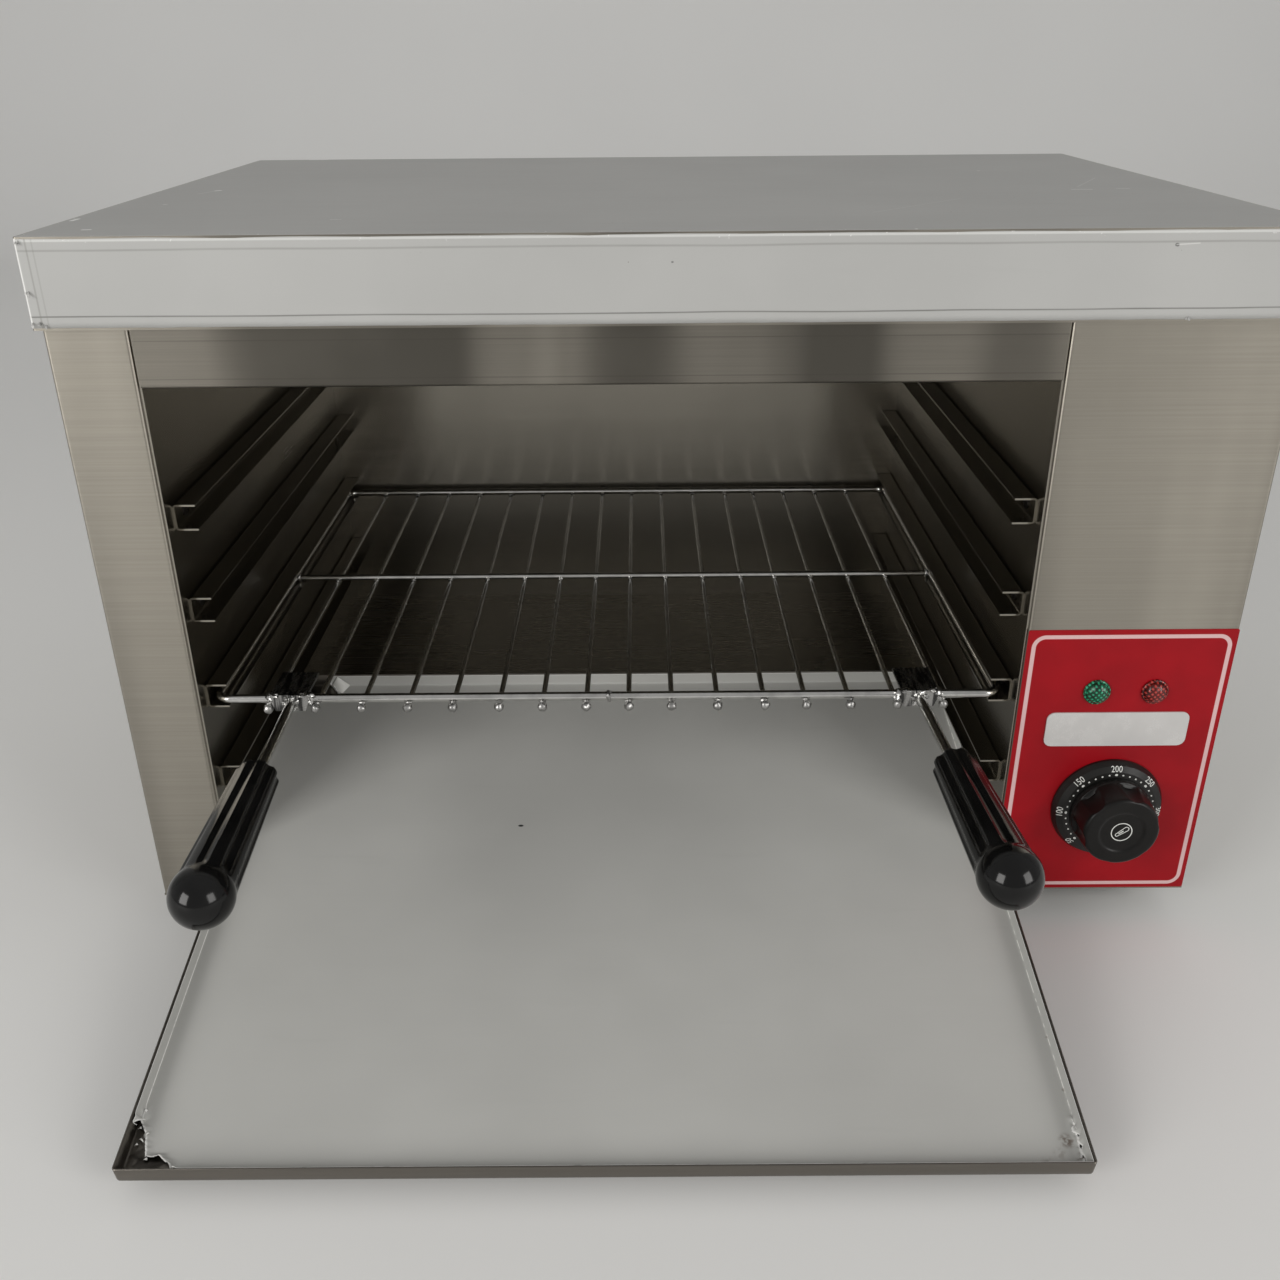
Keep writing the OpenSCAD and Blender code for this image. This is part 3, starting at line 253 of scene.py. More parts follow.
class Finish:
    """One material, built node by node."""

    def __init__(self, name):
        self.material = bpy.data.materials.new(name)
        self.material.use_nodes = True
        self.tree = self.material.node_tree
        self.tree.nodes.clear()

    def node(self, kind, settings=None, sockets=None, output=0):
        """Adds a node: its settings first, then the values or wires of its sockets. Gives one output."""
        node = self.tree.nodes.new("ShaderNode" + kind)
        for key, value in (settings or {}).items():
            setattr(node, key, value)
        for key, value in (sockets or {}).items():
            socket = node.inputs[key]
            if isinstance(value, Wire):
                self.tree.links.new(value.socket, socket)
            elif socket.type == "RGBA" and len(value) == 3:
                socket.default_value = (*value, 1.0)
            else:
                socket.default_value = value
        return Wire(self, node.outputs[output]) if len(node.outputs) else None

    def place(self):
        """The three object coordinates, in metres."""
        spot = self.node("TexCoord", output=3)
        parts = self.node("SeparateXYZ", sockets={0: spot}).socket.node.outputs
        return [Wire(self, socket) for socket in parts]

    def attribute(self, name):
        """A number kept with the mesh's points."""
        return self.node("Attribute", {"attribute_name": name}, output=2)

    def point(self, x, y, z):
        """Three numbers as one point."""
        return self.node("CombineXYZ", sockets={0: x, 1: y, 2: z})

    def noise(self, spot, scale=1.0, detail=2.0, rough=0.5):
        """Cloudy noise from 0 to 1 at a point."""
        sockets = {"Vector": spot, "Scale": scale, "Detail": detail, "Roughness": rough}
        return self.node("TexNoise", sockets=sockets)

    def blend(self, amount, first, second):
        """The first colour where amount is 0 and the second where it is 1."""
        return self.node("Mix", {"data_type": "RGBA"}, {0: amount, 6: first, 7: second}, output=2)

    def bump(self, height, distance, strength=1.0, under=None):
        """Normals of a surface that stands out by height times distance, in metres."""
        sockets = {"Strength": strength, "Distance": distance, "Height": height}
        if under is not None:
            sockets["Normal"] = under
        return self.node("Bump", sockets=sockets)

    def surface(self, **sockets):
        """Ends the material in one shader with these sockets, named with underscores for spaces."""
        names = {key.replace("_", " "): value for key, value in sockets.items()}
        shader = self.node("BsdfPrincipled", sockets=names)
        self.node("OutputMaterial", sockets={"Surface": shader})
        return self.material


def shade(base, factor):
    """A colour times a number."""
    return tuple(min(1.0, part * factor) for part in base)


def brushed(name, base, lie="upright", rough=0.30, painted_reflection_bands=0.0, wave=1.0, marks=None):
    """Satin sheet: fine level grain that stretches reflections upwards, faint stains, a slow wave in its
    flatness and, where asked for, soft upright stripes of lighter and darker colour, which are painted
    reflections."""
    finish = Finish(name)
    x, y, z = finish.place()
    along, across = (x + y, z) if lie == "upright" else (x, y + z * 0.5)
    grain = finish.noise(finish.point(along * 7.0, 0.0, across * 900.0), detail=3.0, rough=0.6)
    cloud = finish.noise(finish.point(x, y, z), scale=14.0, detail=3.0)
    swell = finish.noise(finish.point(along * 17.0, 0.0, across * 2.2), detail=1.5)
    body = finish.blend(grain.ramp(0.25, 0.75), shade(base, 0.94), shade(base, 1.06))
    # Painted reflections: soft upright stripes of darker and lighter colour in the sheet.
    if painted_reflection_bands:
        reflection_stripe = finish.noise(finish.point(along * 13.0, 3.7, across * 0.8), detail=1.5, rough=0.4)
        body = finish.blend(reflection_stripe.ramp(0.48, 0.62) * painted_reflection_bands, body, shade(base, 0.45))
        body = finish.blend(reflection_stripe.ramp(0.47, 0.34) * painted_reflection_bands, body, shade(base, 1.75))
    body = finish.blend(cloud.ramp(0.42, 0.75) * 0.25, body, shade(base, 0.82))
    if marks:
        body = marks(finish, (x, y, z), body)
    flat = finish.bump(swell, 0.0016 * wave, 0.5)
    return finish.surface(
        Base_Color=body,
        Metallic=1.0,
        Roughness=grain * 0.06 + cloud * 0.06 + (rough - 0.06),
        Anisotropic=0.7,
        Anisotropic_Rotation=0.25,
        Normal=finish.bump(grain, 0.00002, 0.4, flat),
    )


def bright_wire(name, base, rough, relief=0.0):
    """Bright plated wire or weld: clear reflections, faint pits and a little haze."""
    finish = Finish(name)
    x, y, z = finish.place()
    spot = finish.point(x, y, z)
    haze = finish.noise(spot, scale=120.0, detail=3.0)
    pits = finish.noise(spot, scale=1400.0, detail=2.0)
    normal = finish.bump(pits, 0.00004 + relief, 0.4)
    return finish.surface(
        Base_Color=finish.blend(haze.ramp(0.35, 0.8), base, shade(base, 0.72)),
        Metallic=1.0,
        Roughness=haze * 0.16 + (rough - 0.04),
        Normal=normal,
    )


def moulded(name, base, rough=0.35, coat=0.0, grain=900.0, depth=0.00003, spread=0.25, shine=0.5):
    """Moulded or cast material: fine grain, soft mottling, duller patches where it was touched."""
    finish = Finish(name)
    x, y, z = finish.place()
    spot = finish.point(x, y, z)
    mottle = finish.noise(spot, scale=60.0, detail=3.0)
    fine = finish.noise(spot, scale=grain, detail=2.0)
    light = tuple(part * (1.0 + spread) + 0.004 * spread for part in base)
    return finish.surface(
        Base_Color=finish.blend(mottle.ramp(0.3, 0.75), shade(base, 1.0 - spread), light),
        Roughness=mottle * 0.12 + fine * 0.05 + (rough - 0.07),
        Specular_IOR_Level=shine,
        Coat_Weight=coat,
        Coat_Roughness=0.06,
        Normal=finish.bump(fine, depth, 0.35),
    )


def span(gaps):
    """Length of a step, from its parts: the root of the sum of their squares."""
    total = gaps[0] * gaps[0]
    for gap in gaps[1:]:
        total = total + gap * gap
    return total.root()


def fleck(place, spot, reach, stretch):
    """1 inside a small spot on the surface, fading to 0 at its reach."""
    gaps = [(axis - at) * scale for axis, at, scale in zip(place, spot, stretch)]
    return span(gaps).ramp(reach, reach * 0.55)


def film_finish(name, base, marks=None):
    """Thin white film stuck to sheet metal: satin, cloudy where air is under it, with fine scuffs."""
    finish = Finish(name)
    x, y, z = finish.place()
    spot = finish.point(x, y, z)
    cloud = finish.noise(spot, scale=9.0, detail=3.0)
    scuff = finish.noise(finish.point(x * 14.0, y * 140.0, z * 120.0), detail=3.0)
    hairs = finish.noise(finish.point(x * 420.0 + y * 60.0, y * 300.0, z * 420.0), detail=1.0)
    body = finish.blend(cloud.ramp(0.3, 0.75), shade(base, 0.955), shade(base, 1.03))
    body = finish.blend(scuff.ramp(0.62, 0.8) * 0.22, body, shade(base, 0.88))
    if marks:
        body = marks(finish, (x, y, z), body)
    height = hairs * 0.3 + scuff * 0.7 + cloud * 3.0
    return finish.surface(
        Base_Color=body,
        Roughness=cloud * 0.10 + scuff * 0.08 + 0.44,
        Specular_IOR_Level=0.3,
        Normal=finish.bump(height, 0.00022, 0.35),
    )


# Shapes -----------------------------------------------------------------


def unevenness(seed, spots, size, octaves=3):
    """Smooth random field about 0 at an array of points, mostly within -1 and 1 but up to the root of 5
    either way: sines along random directions, each octave half as long and half as strong as the last."""
    rng = np.random.default_rng(seed)
    spots = np.asarray(spots, float)
    total = np.zeros(spots.shape[:-1])
    weight = 0.0
    for octave in range(octaves):
        share = 0.5**octave
        ways = rng.normal(size=(5, spots.shape[-1]))
        ways *= 2**octave / size / np.linalg.norm(ways, axis=1, keepdims=True)
        phases = rng.uniform(0, 2 * np.pi, 5)
        total += share * np.sin(2 * np.pi * (spots @ ways.T) + phases).sum(-1) / 5**0.5
        weight += share
    return total / weight


def grid_faces(rows, columns, ring=True):
    """Quads between neighbouring points of a grid, as an array. A ring's last column meets its first."""
    row, column = np.meshgrid(np.arange(rows - 1), np.arange(columns if ring else columns - 1), indexing="ij")
    following = (column + 1) % columns
    corners = ((0, column), (0, following), (1, following), (1, column))
    return np.stack([(row + step) * columns + at for step, at in corners], -1).reshape(-1, 4)


def repeated(quads, count, size):
    """The faces of one shape of size points, once for each of several such shapes."""
    return (quads[None] + (np.arange(count) * size)[:, None, None]).reshape(-1, 4)


def strips(spine, across, width):
    """Flat strips along several spines: at each place two points, a width to either side of it."""
    sides = np.stack([spine - across * width, spine + across * width], 2)
    count, steps = sides.shape[:2]
    return sides, repeated(grid_faces(steps, 2, ring=False), count, 2 * steps)


def spun(turn):
    """Matrix of a turn about Z."""
    cosine, sine = math.cos(turn), math.sin(turn)
    return np.array([[cosine, -sine, 0], [sine, cosine, 0], [0, 0, 1]])


def facing(points, centre):
    """Points drawn about +Z, to a disc that faces the front: X stays, Y goes up and Z forward."""
    points = np.asarray(points, float)
    return np.stack([points[..., 0], -points[..., 2], points[..., 1]], -1) + centre


def thicken(piece, thickness, offset=-1.0):
    """Gives an open surface a thickness: inwards with an offset of -1, outwards with 1."""
    wall = piece.modifiers.new("thickness", "SOLIDIFY")
    wall.thickness, wall.offset = thickness, offset


def add_piece(name, points, faces, material, body, smooth=True, closed=True, keep=35.0, fields=None):
    """Puts arrays of points and faces into a mesh, with fields of one number a point, closes its seams
    and poles, turns its faces outwards and lets the piece ride on a body."""
    mesh = bpy.data.meshes.new(name)
    mesh.from_pydata(np.asarray(points, float).reshape(-1, 3).tolist(), [], [list(face) for face in faces])
    for key, numbers in (fields or {}).items():
        mesh.attributes.new(key, "FLOAT", "POINT").data.foreach_set("value", np.asarray(numbers, np.float32))
    work = bmesh.new()
    work.from_mesh(mesh)
    bmesh.ops.remove_doubles(work, verts=work.verts, dist=1e-6)
    bmesh.ops.dissolve_degenerate(work, edges=work.edges, dist=1e-7)
    if closed:
        bmesh.ops.recalc_face_normals(work, faces=work.faces)
    work.to_mesh(mesh)
    work.free()
    mesh.polygons.foreach_set("use_smooth", np.full(len(mesh.polygons), smooth))
    if smooth and keep:
        mesh.set_sharp_from_angle(angle=math.radians(keep))
    mesh.materials.append(material)
    piece = bpy.data.objects.new(name, mesh)
    bpy.context.scene.collection.objects.link(piece)
    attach(piece, body)
    return piece


def joined(parts):
    """Several (points, faces) pairs as one pair."""
    points, faces, count = [], [], 0
    for some, quads in parts:
        some = np.asarray(some, float).reshape(-1, 3)
        points.append(some)
        faces.extend((np.asarray(quads) + count).tolist())
        count += len(some)
    return np.concatenate(points), faces


def lathe(radii, heights, steps, shape=None):
    """Surface of revolution about Z: the point at angle a on a ring of the profile is
    (r cos a, r sin a, h). Shape may change r from the angle, the radius and the height."""
    turn = np.linspace(0, 2 * np.pi, steps, endpoint=False)
    r, h = np.asarray(radii, float)[:, None], np.asarray(heights, float)[:, None]
    if shape is not None:
        r = shape(turn[None], r, h)
    r = r * np.ones_like(turn)[None]
    points = np.stack([r * np.cos(turn), r * np.sin(turn), h * np.ones_like(turn)[None]], -1)
    return points, grid_faces(len(radii), steps)


def outline(half, radius, straight=60, bend=8, crowd=False):
    """Rectangle with round corners, counter-clockwise, and its outward directions. Crowd puts the
    points of a side closer together near its ends: the share along it is (1 - cos(pi s)) / 2."""
    parts, ways = [], []
    share = np.arange(1, straight)[:, None] / straight
    if crowd:
        share = (1 - np.cos(np.pi * share)) / 2
    signs = np.array([(1, 1), (-1, 1), (-1, -1), (1, -1)])
    for quarter in range(4):
        turn = quarter * np.pi / 2 + np.linspace(0, np.pi / 2, bend + 1)
        way = np.stack([np.cos(turn), np.sin(turn)], -1)
        arc = signs[quarter] * (half - radius) + radius * way
        stop = signs[(quarter + 1) % 4] * (half - radius) + radius * way[-1]
        parts += [arc, arc[-1] + (stop - arc[-1]) * share]
        ways += [way, np.repeat(way[-1:], straight - 1, 0)]
    return np.concatenate(parts), np.concatenate(ways)


def rounded_profile(corners, radii, steps=5):
    """A profile through corners, each rounded by its own radius: the arc's points are a quadratic
    blend between the two places where the arc leaves the straight lines."""
    corners = np.asarray(corners, float)
    out = [corners[:1]]
    t = np.linspace(0, 1, steps + 1)[:, None]
    for before, corner, after, radius in zip(corners[:-2], corners[1:-1], corners[2:], radii):
        if radius <= 0:
            out.append(corner[None])
            continue
        start = corner + (before - corner) / np.linalg.norm(before - corner) * radius
        stop = corner + (after - corner) / np.linalg.norm(after - corner) * radius
        out.append((1 - t) ** 2 * start + 2 * t * (1 - t) * corner + t**2 * stop)
    out.append(corners[-1:])
    return np.concatenate(out)


def finer(profile, longest):
    """The same profile with its long stretches cut into shorter ones."""
    profile = np.asarray(profile, float)
    gaps = np.linalg.norm(np.diff(profile, axis=0), axis=1)
    cuts = np.maximum(1, np.ceil(gaps / longest)).astype(int)
    ends = zip(profile[:-1], profile[1:], cuts)
    parts = [a + (b - a) * (np.arange(cut) / cut)[:, None] for a, b, cut in ends]
    return np.concatenate([*parts, profile[-1:]])


def lumps(seed, places, sizes, rough=0.18, rings=9, steps=12):
    """Weld lumps: balls squashed to their sizes whose radius swells and sinks with an uneven field."""
    tilt = np.linspace(0, np.pi, rings)[:, None]
    turn = np.linspace(0, 2 * np.pi, steps, endpoint=False)[None]
    level = np.ones_like(turn)
    ball = np.stack([np.sin(tilt) * np.cos(turn), np.sin(tilt) * np.sin(turn), np.cos(tilt) * level], -1)
    places, sizes = np.asarray(places, float), np.asarray(sizes, float)
    spread = places[:, None, None, :] * 900.0 + ball[None] * 1.3
    swell = 1.0 + rough * unevenness(seed, spread, 1.6, 2)
    points = places[:, None, None, :] + ball[None] * sizes[:, None, None, :] * swell[..., None]
    return points.reshape(-1, 3), repeated(grid_faces(rings, steps), len(places), rings * steps)


def handle_frame(start, drop, swing):
    """Matrix that carries +Z to the handle's direction: forward, down by drop and right by swing."""
    turn = Matrix.Rotation(swing, 3, "Z") @ Matrix.Rotation(math.pi / 2 + drop, 3, "X")
    return np.array(turn), np.array(start)


def tray_place(tray, points):
    """Points drawn on the level tray, whose floor is at height 0 and front at 0, to where it lies:
    pushed out past the pivot, then tipped about it."""
    points = np.array(points, float)
    points[..., 0] += tray.middle
    y, z = points[..., 1] - tray.out, points[..., 2] + tray.rise
    cosine, sine = math.cos(tray.slope), math.sin(tray.slope)
    points[..., 1] = tray.pivot[1] + y * cosine - z * sine
    points[..., 2] = tray.pivot[2] + y * sine + z * cosine
    return points


def node_spots(name):
    """Places of a CAD node's vertices."""
    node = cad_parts[name]
    spots = np.zeros(len(node.data.vertices) * 3, np.float32)
    node.data.vertices.foreach_get("co", spots)
    turn = np.array(node.matrix_world)
    return spots.reshape(-1, 3) @ turn[:3, :3].T + turn[:3, 3]


def dress(material, *nodes):
    """Gives CAD nodes a finish, without touching their meshes."""
    for name in nodes:
        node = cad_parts[name]
        if not node.material_slots:
            node.data.materials.append(material)
        for material_slot in node.material_slots:
            material_slot.material = material


# Operators --------------------------------------------------------------


class GRILL_OT_sheets(bpy.types.Operator):
    """Finish the cabinet's sheets, the cavity and the runners"""

    bl_idname = "grill.sheets"
    bl_label = "Sheets"

    # Heights of the two lines along the header, in metres.
    scores = (0.3263, 0.3447)

    def scored(self, finish, place, body):
        """Two faint dark level lines along the header."""
        patchy = finish.noise(finish.point(place[0] * 9.0, 0.0, place[2] * 9.0), detail=2.0)
        for height in self.scores:
            line = (place[2] - height).size().ramp(0.00045, 0.00020) * (place[1] < -0.2005)
            body = finish.blend(line * (patchy * 0.5 + 0.1), body, (0.10, 0.09, 0.08))
        return body

    def execute(self, context):
        metals = context.scene.grill_metals
        # Cabinet and header carry painted reflections as upright stripes; the header's copy of the same sheet
        # is also painted darker, as painted shade.
        cabinet = brushed("cabinet_sheet", metals.sheet, painted_reflection_bands=0.6, wave=1.0)
        header = brushed("header_sheet", shade(metals.sheet, 0.72), painted_reflection_bands=1.0, wave=1.0, marks=self.scored)
        liner = brushed("liner_sheet", metals.liner, rough=0.25, wave=0.7)
        level = brushed("level_sheet", metals.liner, lie="flat", rough=0.27, wave=0.7)
        dress(cabinet, "left_panel", "right_panel", "back_panel", "top_cover")
        dress(header, "header")
        dress(liner, "cavity_left_wall", "cavity_right_wall", "cavity_back_wall")
        dress(level, "base_pan", "cavity_ceiling", "cavity_floor", "heater_hangers", "bulb_clips")
        runner = brushed("runner_sheet", shade(metals.liner, 1.05), rough=0.24, wave=0.4)
        dress(runner, *[f"rails_level_{number}" for number in range(1, 5)])
        dress(bright_wire("rivet_steel", shade(metals.heater, 0.8), rough=0.35), "rail_rivets")
        return {"FINISHED"}


class GRILL_OT_cover(bpy.types.Operator):
    """Lay the protective film over the top cover"""

    bl_idname = "grill.cover"
    bl_label = "Cover film"

    def marks(self, finish, place, body):
        """Painted shade along the creases, painted highlights along the top edge and at the front left
        corner, bright torn flecks and dark specks, at their places on the film.
        """
        x, y, z = place
        cover = bpy.context.scene.grill_cover
        low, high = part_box("cover_film")
        drift = finish.noise(finish.point(x * 9.0, y * 9.0, 0.0), detail=2.0) * 0.0016 - 0.0008
        side = ((y - low.y) < 0.0006).most((high.y - y) < 0.0006).most((x - low.x) < 0.0006)
        side = side.most((high.x - x) < 0.0006)
        # Painted shade: dark lines along the upper and lower creases of the sides.
        upper = (z + drift - (high.z - cover.upper_crease)).size().ramp(0.0007, 0.0002)
        lower = (z - drift - (low.z + cover.lower_crease)).size().ramp(0.00055, 0.00015)
        patchy = finish.noise(finish.point(x * 30.0, y * 30.0, z * 20.0), detail=2.0)
        body = finish.blend(side * upper * (0.25 + patchy * 0.25), body, (0.20, 0.20, 0.185))
        body = finish.blend(side * lower * (0.45 + patchy * 0.4), body, (0.12, 0.12, 0.11))
        # Painted highlight: a bright line just under the top edge of the sides.
        rim = (z - (high.z - 0.0019)).size().ramp(0.0007, 0.0003)
        body = finish.blend(side * rim * 0.35, body, (0.86, 0.87, 0.85))
        # Painted highlight: a bright strip on the front face of the rounded front left corner.
        ahead = (y - low.y) < 0.0006
        corner = (x - low.x).ramp(0.0017, 0.0010) * ahead
        body = finish.blend(corner * 0.85, body, (0.88, 0.88, 0.86))
        # Painted shade: two dark upright crease lines near the front left corner.
        upright = (x - low.x - 0.0058 + drift).size().ramp(0.0006, 0.0002).most(
            (x - low.x - 0.0085 - drift).size().ramp(0.0005, 0.0002) * 0.6)
        body = finish.blend(upright * ahead * patchy.ramp(0.3, 0.6) * 0.45, body, (0.22, 0.22, 0.20))
        specks = finish.noise(finish.point(x * 620.0, y * 620.0, z * 620.0), detail=1.0)
        body = finish.blend(specks.ramp(0.815, 0.84), body, (0.16, 0.15, 0.13))
        bits = finish.noise(finish.point(x * 560.0, y * 560.0, z * 560.0 + 7.0), detail=2.0)
        edges = (high.z - z).ramp(0.004, 0.0005) * ((y - low.y) < 0.004).most(
            (high.y - y) < 0.003).most((x - low.x) < 0.003).most((high.x - x) < 0.003)
        body = finish.blend(bits.ramp(0.70, 0.74) * edges, body, (0.9, 0.9, 0.88))
        front, top = low.y, high.z
        for start, stop, width, share, tone in (
            ((0.2313, -0.0433, top), (0.2425, -0.0442, top), 0.0008, 0.8, 0.92),
            ((0.2581, -0.0405, top), (0.2648, -0.0410, top), 0.0007, 0.7, 0.90),
            ((0.2389, -0.0297, top), (0.2658, 0.0202, top), 0.0007, 0.25, 0.75),
            ((0.2063, 0.0726, top), (0.2072, 0.0730, top), 0.0011, 0.6, 0.85),
            ((0.1008, -0.1409, top), (0.1576, -0.0840, top), 0.0007, 0.2, 0.7),
            ((-0.2685, -0.0133, top), (-0.2668, -0.0120, top), 0.0018, 0.9, 0.92),
            ((-0.2740, -0.0300, top), (-0.2690, -0.0150, top), 0.0010, 0.3, 0.75),
            ((-0.2757, -0.0824, top), (-0.2750, -0.0810, top), 0.0014, 0.45, 0.8),
            ((-0.2986, -0.1490, top), (-0.2983, -0.1416, top), 0.0016, 0.8, 0.92),
            ((-0.2790, -0.1830, top), (-0.2762, -0.1826, top), 0.0015, 0.9, 0.92),
            ((-0.1690, -0.1523, top), (-0.1645, -0.1520, top), 0.0009, 0.5, 0.8),
            ((-0.2640, 0.2030, top), (-0.2520, 0.2030, top), 0.0018, 0.9, 0.95),
            ((-0.2300, 0.2035, top), (-0.2180, 0.2035, top), 0.0012, 0.6, 0.9),
            ((0.2291, front, 0.3856), (0.2296, front, 0.3855), 0.0010, 0.9, 0.10),
            ((0.2291, front, 0.3856), (0.2396, front, 0.3862), 0.0004, 0.4, 0.8),
            ((-0.0019, front, 0.3797), (-0.0016, front, 0.3797), 0.0006, 0.7, 0.10),
        ):
            mark = self.dash(place, start, stop, width) * share
            body = finish.blend(mark, body, (tone, tone, tone * 0.98))
        return body

    def dash(self, place, start, stop, width):
        """1 along a short line, fading to 0 at its width: the distance to the nearest point of the line."""
        way = np.array(stop) - np.array(start)
        square = float(way @ way)
        gaps = [axis - at for axis, at in zip(place, start)]
        parts = [gap * (part / square) for gap, part in zip(gaps, way)]
        share = (parts[0] + parts[1] + parts[2]).most(0.0).least(1.0)
        rest = [gap - share * float(part) for gap, part in zip(gaps, way)]
        return span(rest).ramp(width, width * 0.45)

    def execute(self, context):
        cover = context.scene.grill_cover
        low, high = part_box("cover_film")
        half = np.array([high.x - low.x, high.y - low.y]) / 2
        middle = np.array([high.x + low.x, high.y + low.y]) / 2
        ring, outward = outline(half, cover.corner)
        drop = high.z - low.z
        edge = cover.edge
        turn = np.linspace(0, np.pi / 2, 7)
        heights = np.concatenate([np.linspace(0, drop - edge, 14), drop - edge + edge * np.sin(turn[1:])])
        depths = np.concatenate([np.zeros(14), edge * (1 - np.cos(turn[1:]))])
        spots = np.broadcast_arrays(ring[None, :, 0], heights[:, None], ring[None, :, 1])
        ripple = unevenness(11, np.stack(spots, -1), 0.05)
        swell = 0.00009 * (ripple - 1.0)
        walls = middle + ring[None] - outward[None] * (depths[:, None, None] - swell[..., None])
        levels = np.broadcast_to(low.z + heights[:, None, None], (*walls.shape[:2], 1))
        walls = np.concatenate([walls, levels], -1)
        ragged = 0.00015 * (unevenness(5, ring, 0.012) + 1.0)
        walls[0, :, 2] += ragged
        shrink = np.array([0.985, 0.93, 0.8, 0.6, 0.3, 0.0])[:, None, None]
        inner = (ring - outward * edge)[None] * shrink + middle
        lid = np.concatenate([inner, np.full((*inner.shape[:2], 1), high.z)], -1)
        points = np.concatenate([walls, lid])
        material = film_finish("cover_film_finish", cover.film, self.marks)
        quads = grid_faces(len(points), len(ring))
        piece = add_piece("cover_film_skin", points, quads, material, "cabinet", closed=False)
        thicken(piece, 0.00012)
        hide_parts("cover_film")
        self.shreds(low, high, material)
        return {"FINISHED"}

    def shreds(self, low, high, material):
        """Torn bits of film: narrow strips that curl away from an edge along an arc whose width fades
        to nothing, at the front corners and along the front edges."""
        rng = np.random.default_rng(23)
        roots, ways = [], []
        for corner, count, spread in (
            ((low.x + 0.004, low.y, low.z + 0.0012), 7, 0.004),
            ((low.x + 0.002, low.y, high.z - 0.003), 4, 0.002),
            ((low.x + 0.001, low.y, low.z + 0.016), 2, 0.002),
            ((high.x - 0.064, low.y, low.z + 0.0006), 2, 0.001),
            ((high.x - 0.003, low.y, low.z + 0.001), 4, 0.003),
        ):
            for _ in range(count):
                step = [rng.uniform(-spread, spread) * 0.9, 0.0, rng.uniform(0, 0.5) * spread]
                roots.append(np.array(corner) + step)
                ways.append([rng.uniform(-0.35, 0.8), -1.0, rng.uniform(-0.9, -0.1)])
        s = np.linspace(0, 1, 7)[None, :, None]
        roots, ways = np.array(roots)[:, None, :], np.array(ways)[:, None, :]
        roots[..., 0] = np.clip(roots[..., 0], low.x + 0.0012, high.x - 0.0012)
        reach = rng.uniform(0.0009, 0.0021, (len(roots), 1, 1))
        curl = rng.uniform(-0.8, 0.8, (len(roots), 1, 1))
        spine = roots + ways * reach * np.sin(s * 1.4) + np.array([0.3, 0.0, -0.8]) * curl * reach * s**2
        width = rng.uniform(0.0003, 0.0008, (len(roots), 1, 1)) * (1 - s) ** 0.6
        points, faces = strips(spine, np.array([0.75, 0.1, 0.65]), width)
        piece = add_piece("cover_film_shreds", points, faces, material, "cabinet", closed=False)
        thicken(piece, 0.00015)


class GRILL_OT_rack(bpy.types.Operator):
    """Finish the rack's wires and add their welds"""

    bl_idname = "grill.rack"
    bl_label = "Rack"

    def execute(self, context):
        rack, metals = context.scene.grill_rack, context.scene.grill_metals
        chrome = bright_wire("rack_chrome", metals.chrome, rough=0.13)
        dress(chrome, "rack_frame", "rack_bar", "rack_wires", "sill_rod")
        dress(bright_wire("rod_chrome", metals.chrome, rough=0.17), "left_rod", "right_rod")
        low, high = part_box("rack_wires")
        frame_low, frame_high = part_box("rack_frame")
        bar_low, bar_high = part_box("rack_bar")
        spread = np.sort(node_spots("rack_wires")[:, 0])
        cuts = np.flatnonzero(np.diff(spread) > 0.005) + 1
        xs = np.array([(wire[0] + wire[-1]) / 2 for wire in np.split(spread, cuts)])
        z = (low.z + high.z) / 2
        across = np.full_like(xs, 1.0)
        bead = rack.bead
        ends = np.stack([xs, across * (low.y + 0.0014), across * (z - 0.0002)], -1)
        rears = np.stack([xs, across * (high.y - 0.0030), across * (z + 0.0012)], -1)
        middles = np.stack([xs, across * (bar_low.y + bar_high.y) / 2, across * (z + 0.0016)], -1)
        joints = np.stack([xs, across * (frame_low.y + 0.0026), across * (z + 0.0014)], -1)
        sides = [
            [x, (bar_low.y + bar_high.y) / 2, (bar_low.z + bar_high.z) / 2]
            for x in (bar_low.x + 0.0006, bar_high.x - 0.0006)
        ]
        butt = [rack.butt, frame_low.y + 0.0025, (frame_low.z + frame_high.z) / 2]
        parts = [
            lumps(3, ends, np.tile([bead, bead * 0.95, bead], (len(xs), 1)), 0.10, 11, 16),
            lumps(4, joints, np.tile([0.0021, 0.0021, 0.0014], (len(xs), 1)), 0.2),
            lumps(5, rears, np.tile([0.0019, 0.0019, 0.0017], (len(xs), 1))),
            lumps(6, middles, np.tile([0.0017, 0.0019, 0.0012], (len(xs), 1))),
            lumps(7, sides, np.tile([0.0016, 0.0024, 0.0024], (2, 1))),
            lumps(8, [butt], [[0.0024, 0.0031, 0.0031]]),
        ]
        points, faces = joined(parts)
        dull = bright_wire("weld_chrome", shade(metals.chrome, 0.62), 0.34, 0.00004)
        welds = add_piece("rack_welds", points, faces, dull, "rack")
        return {"FINISHED"}


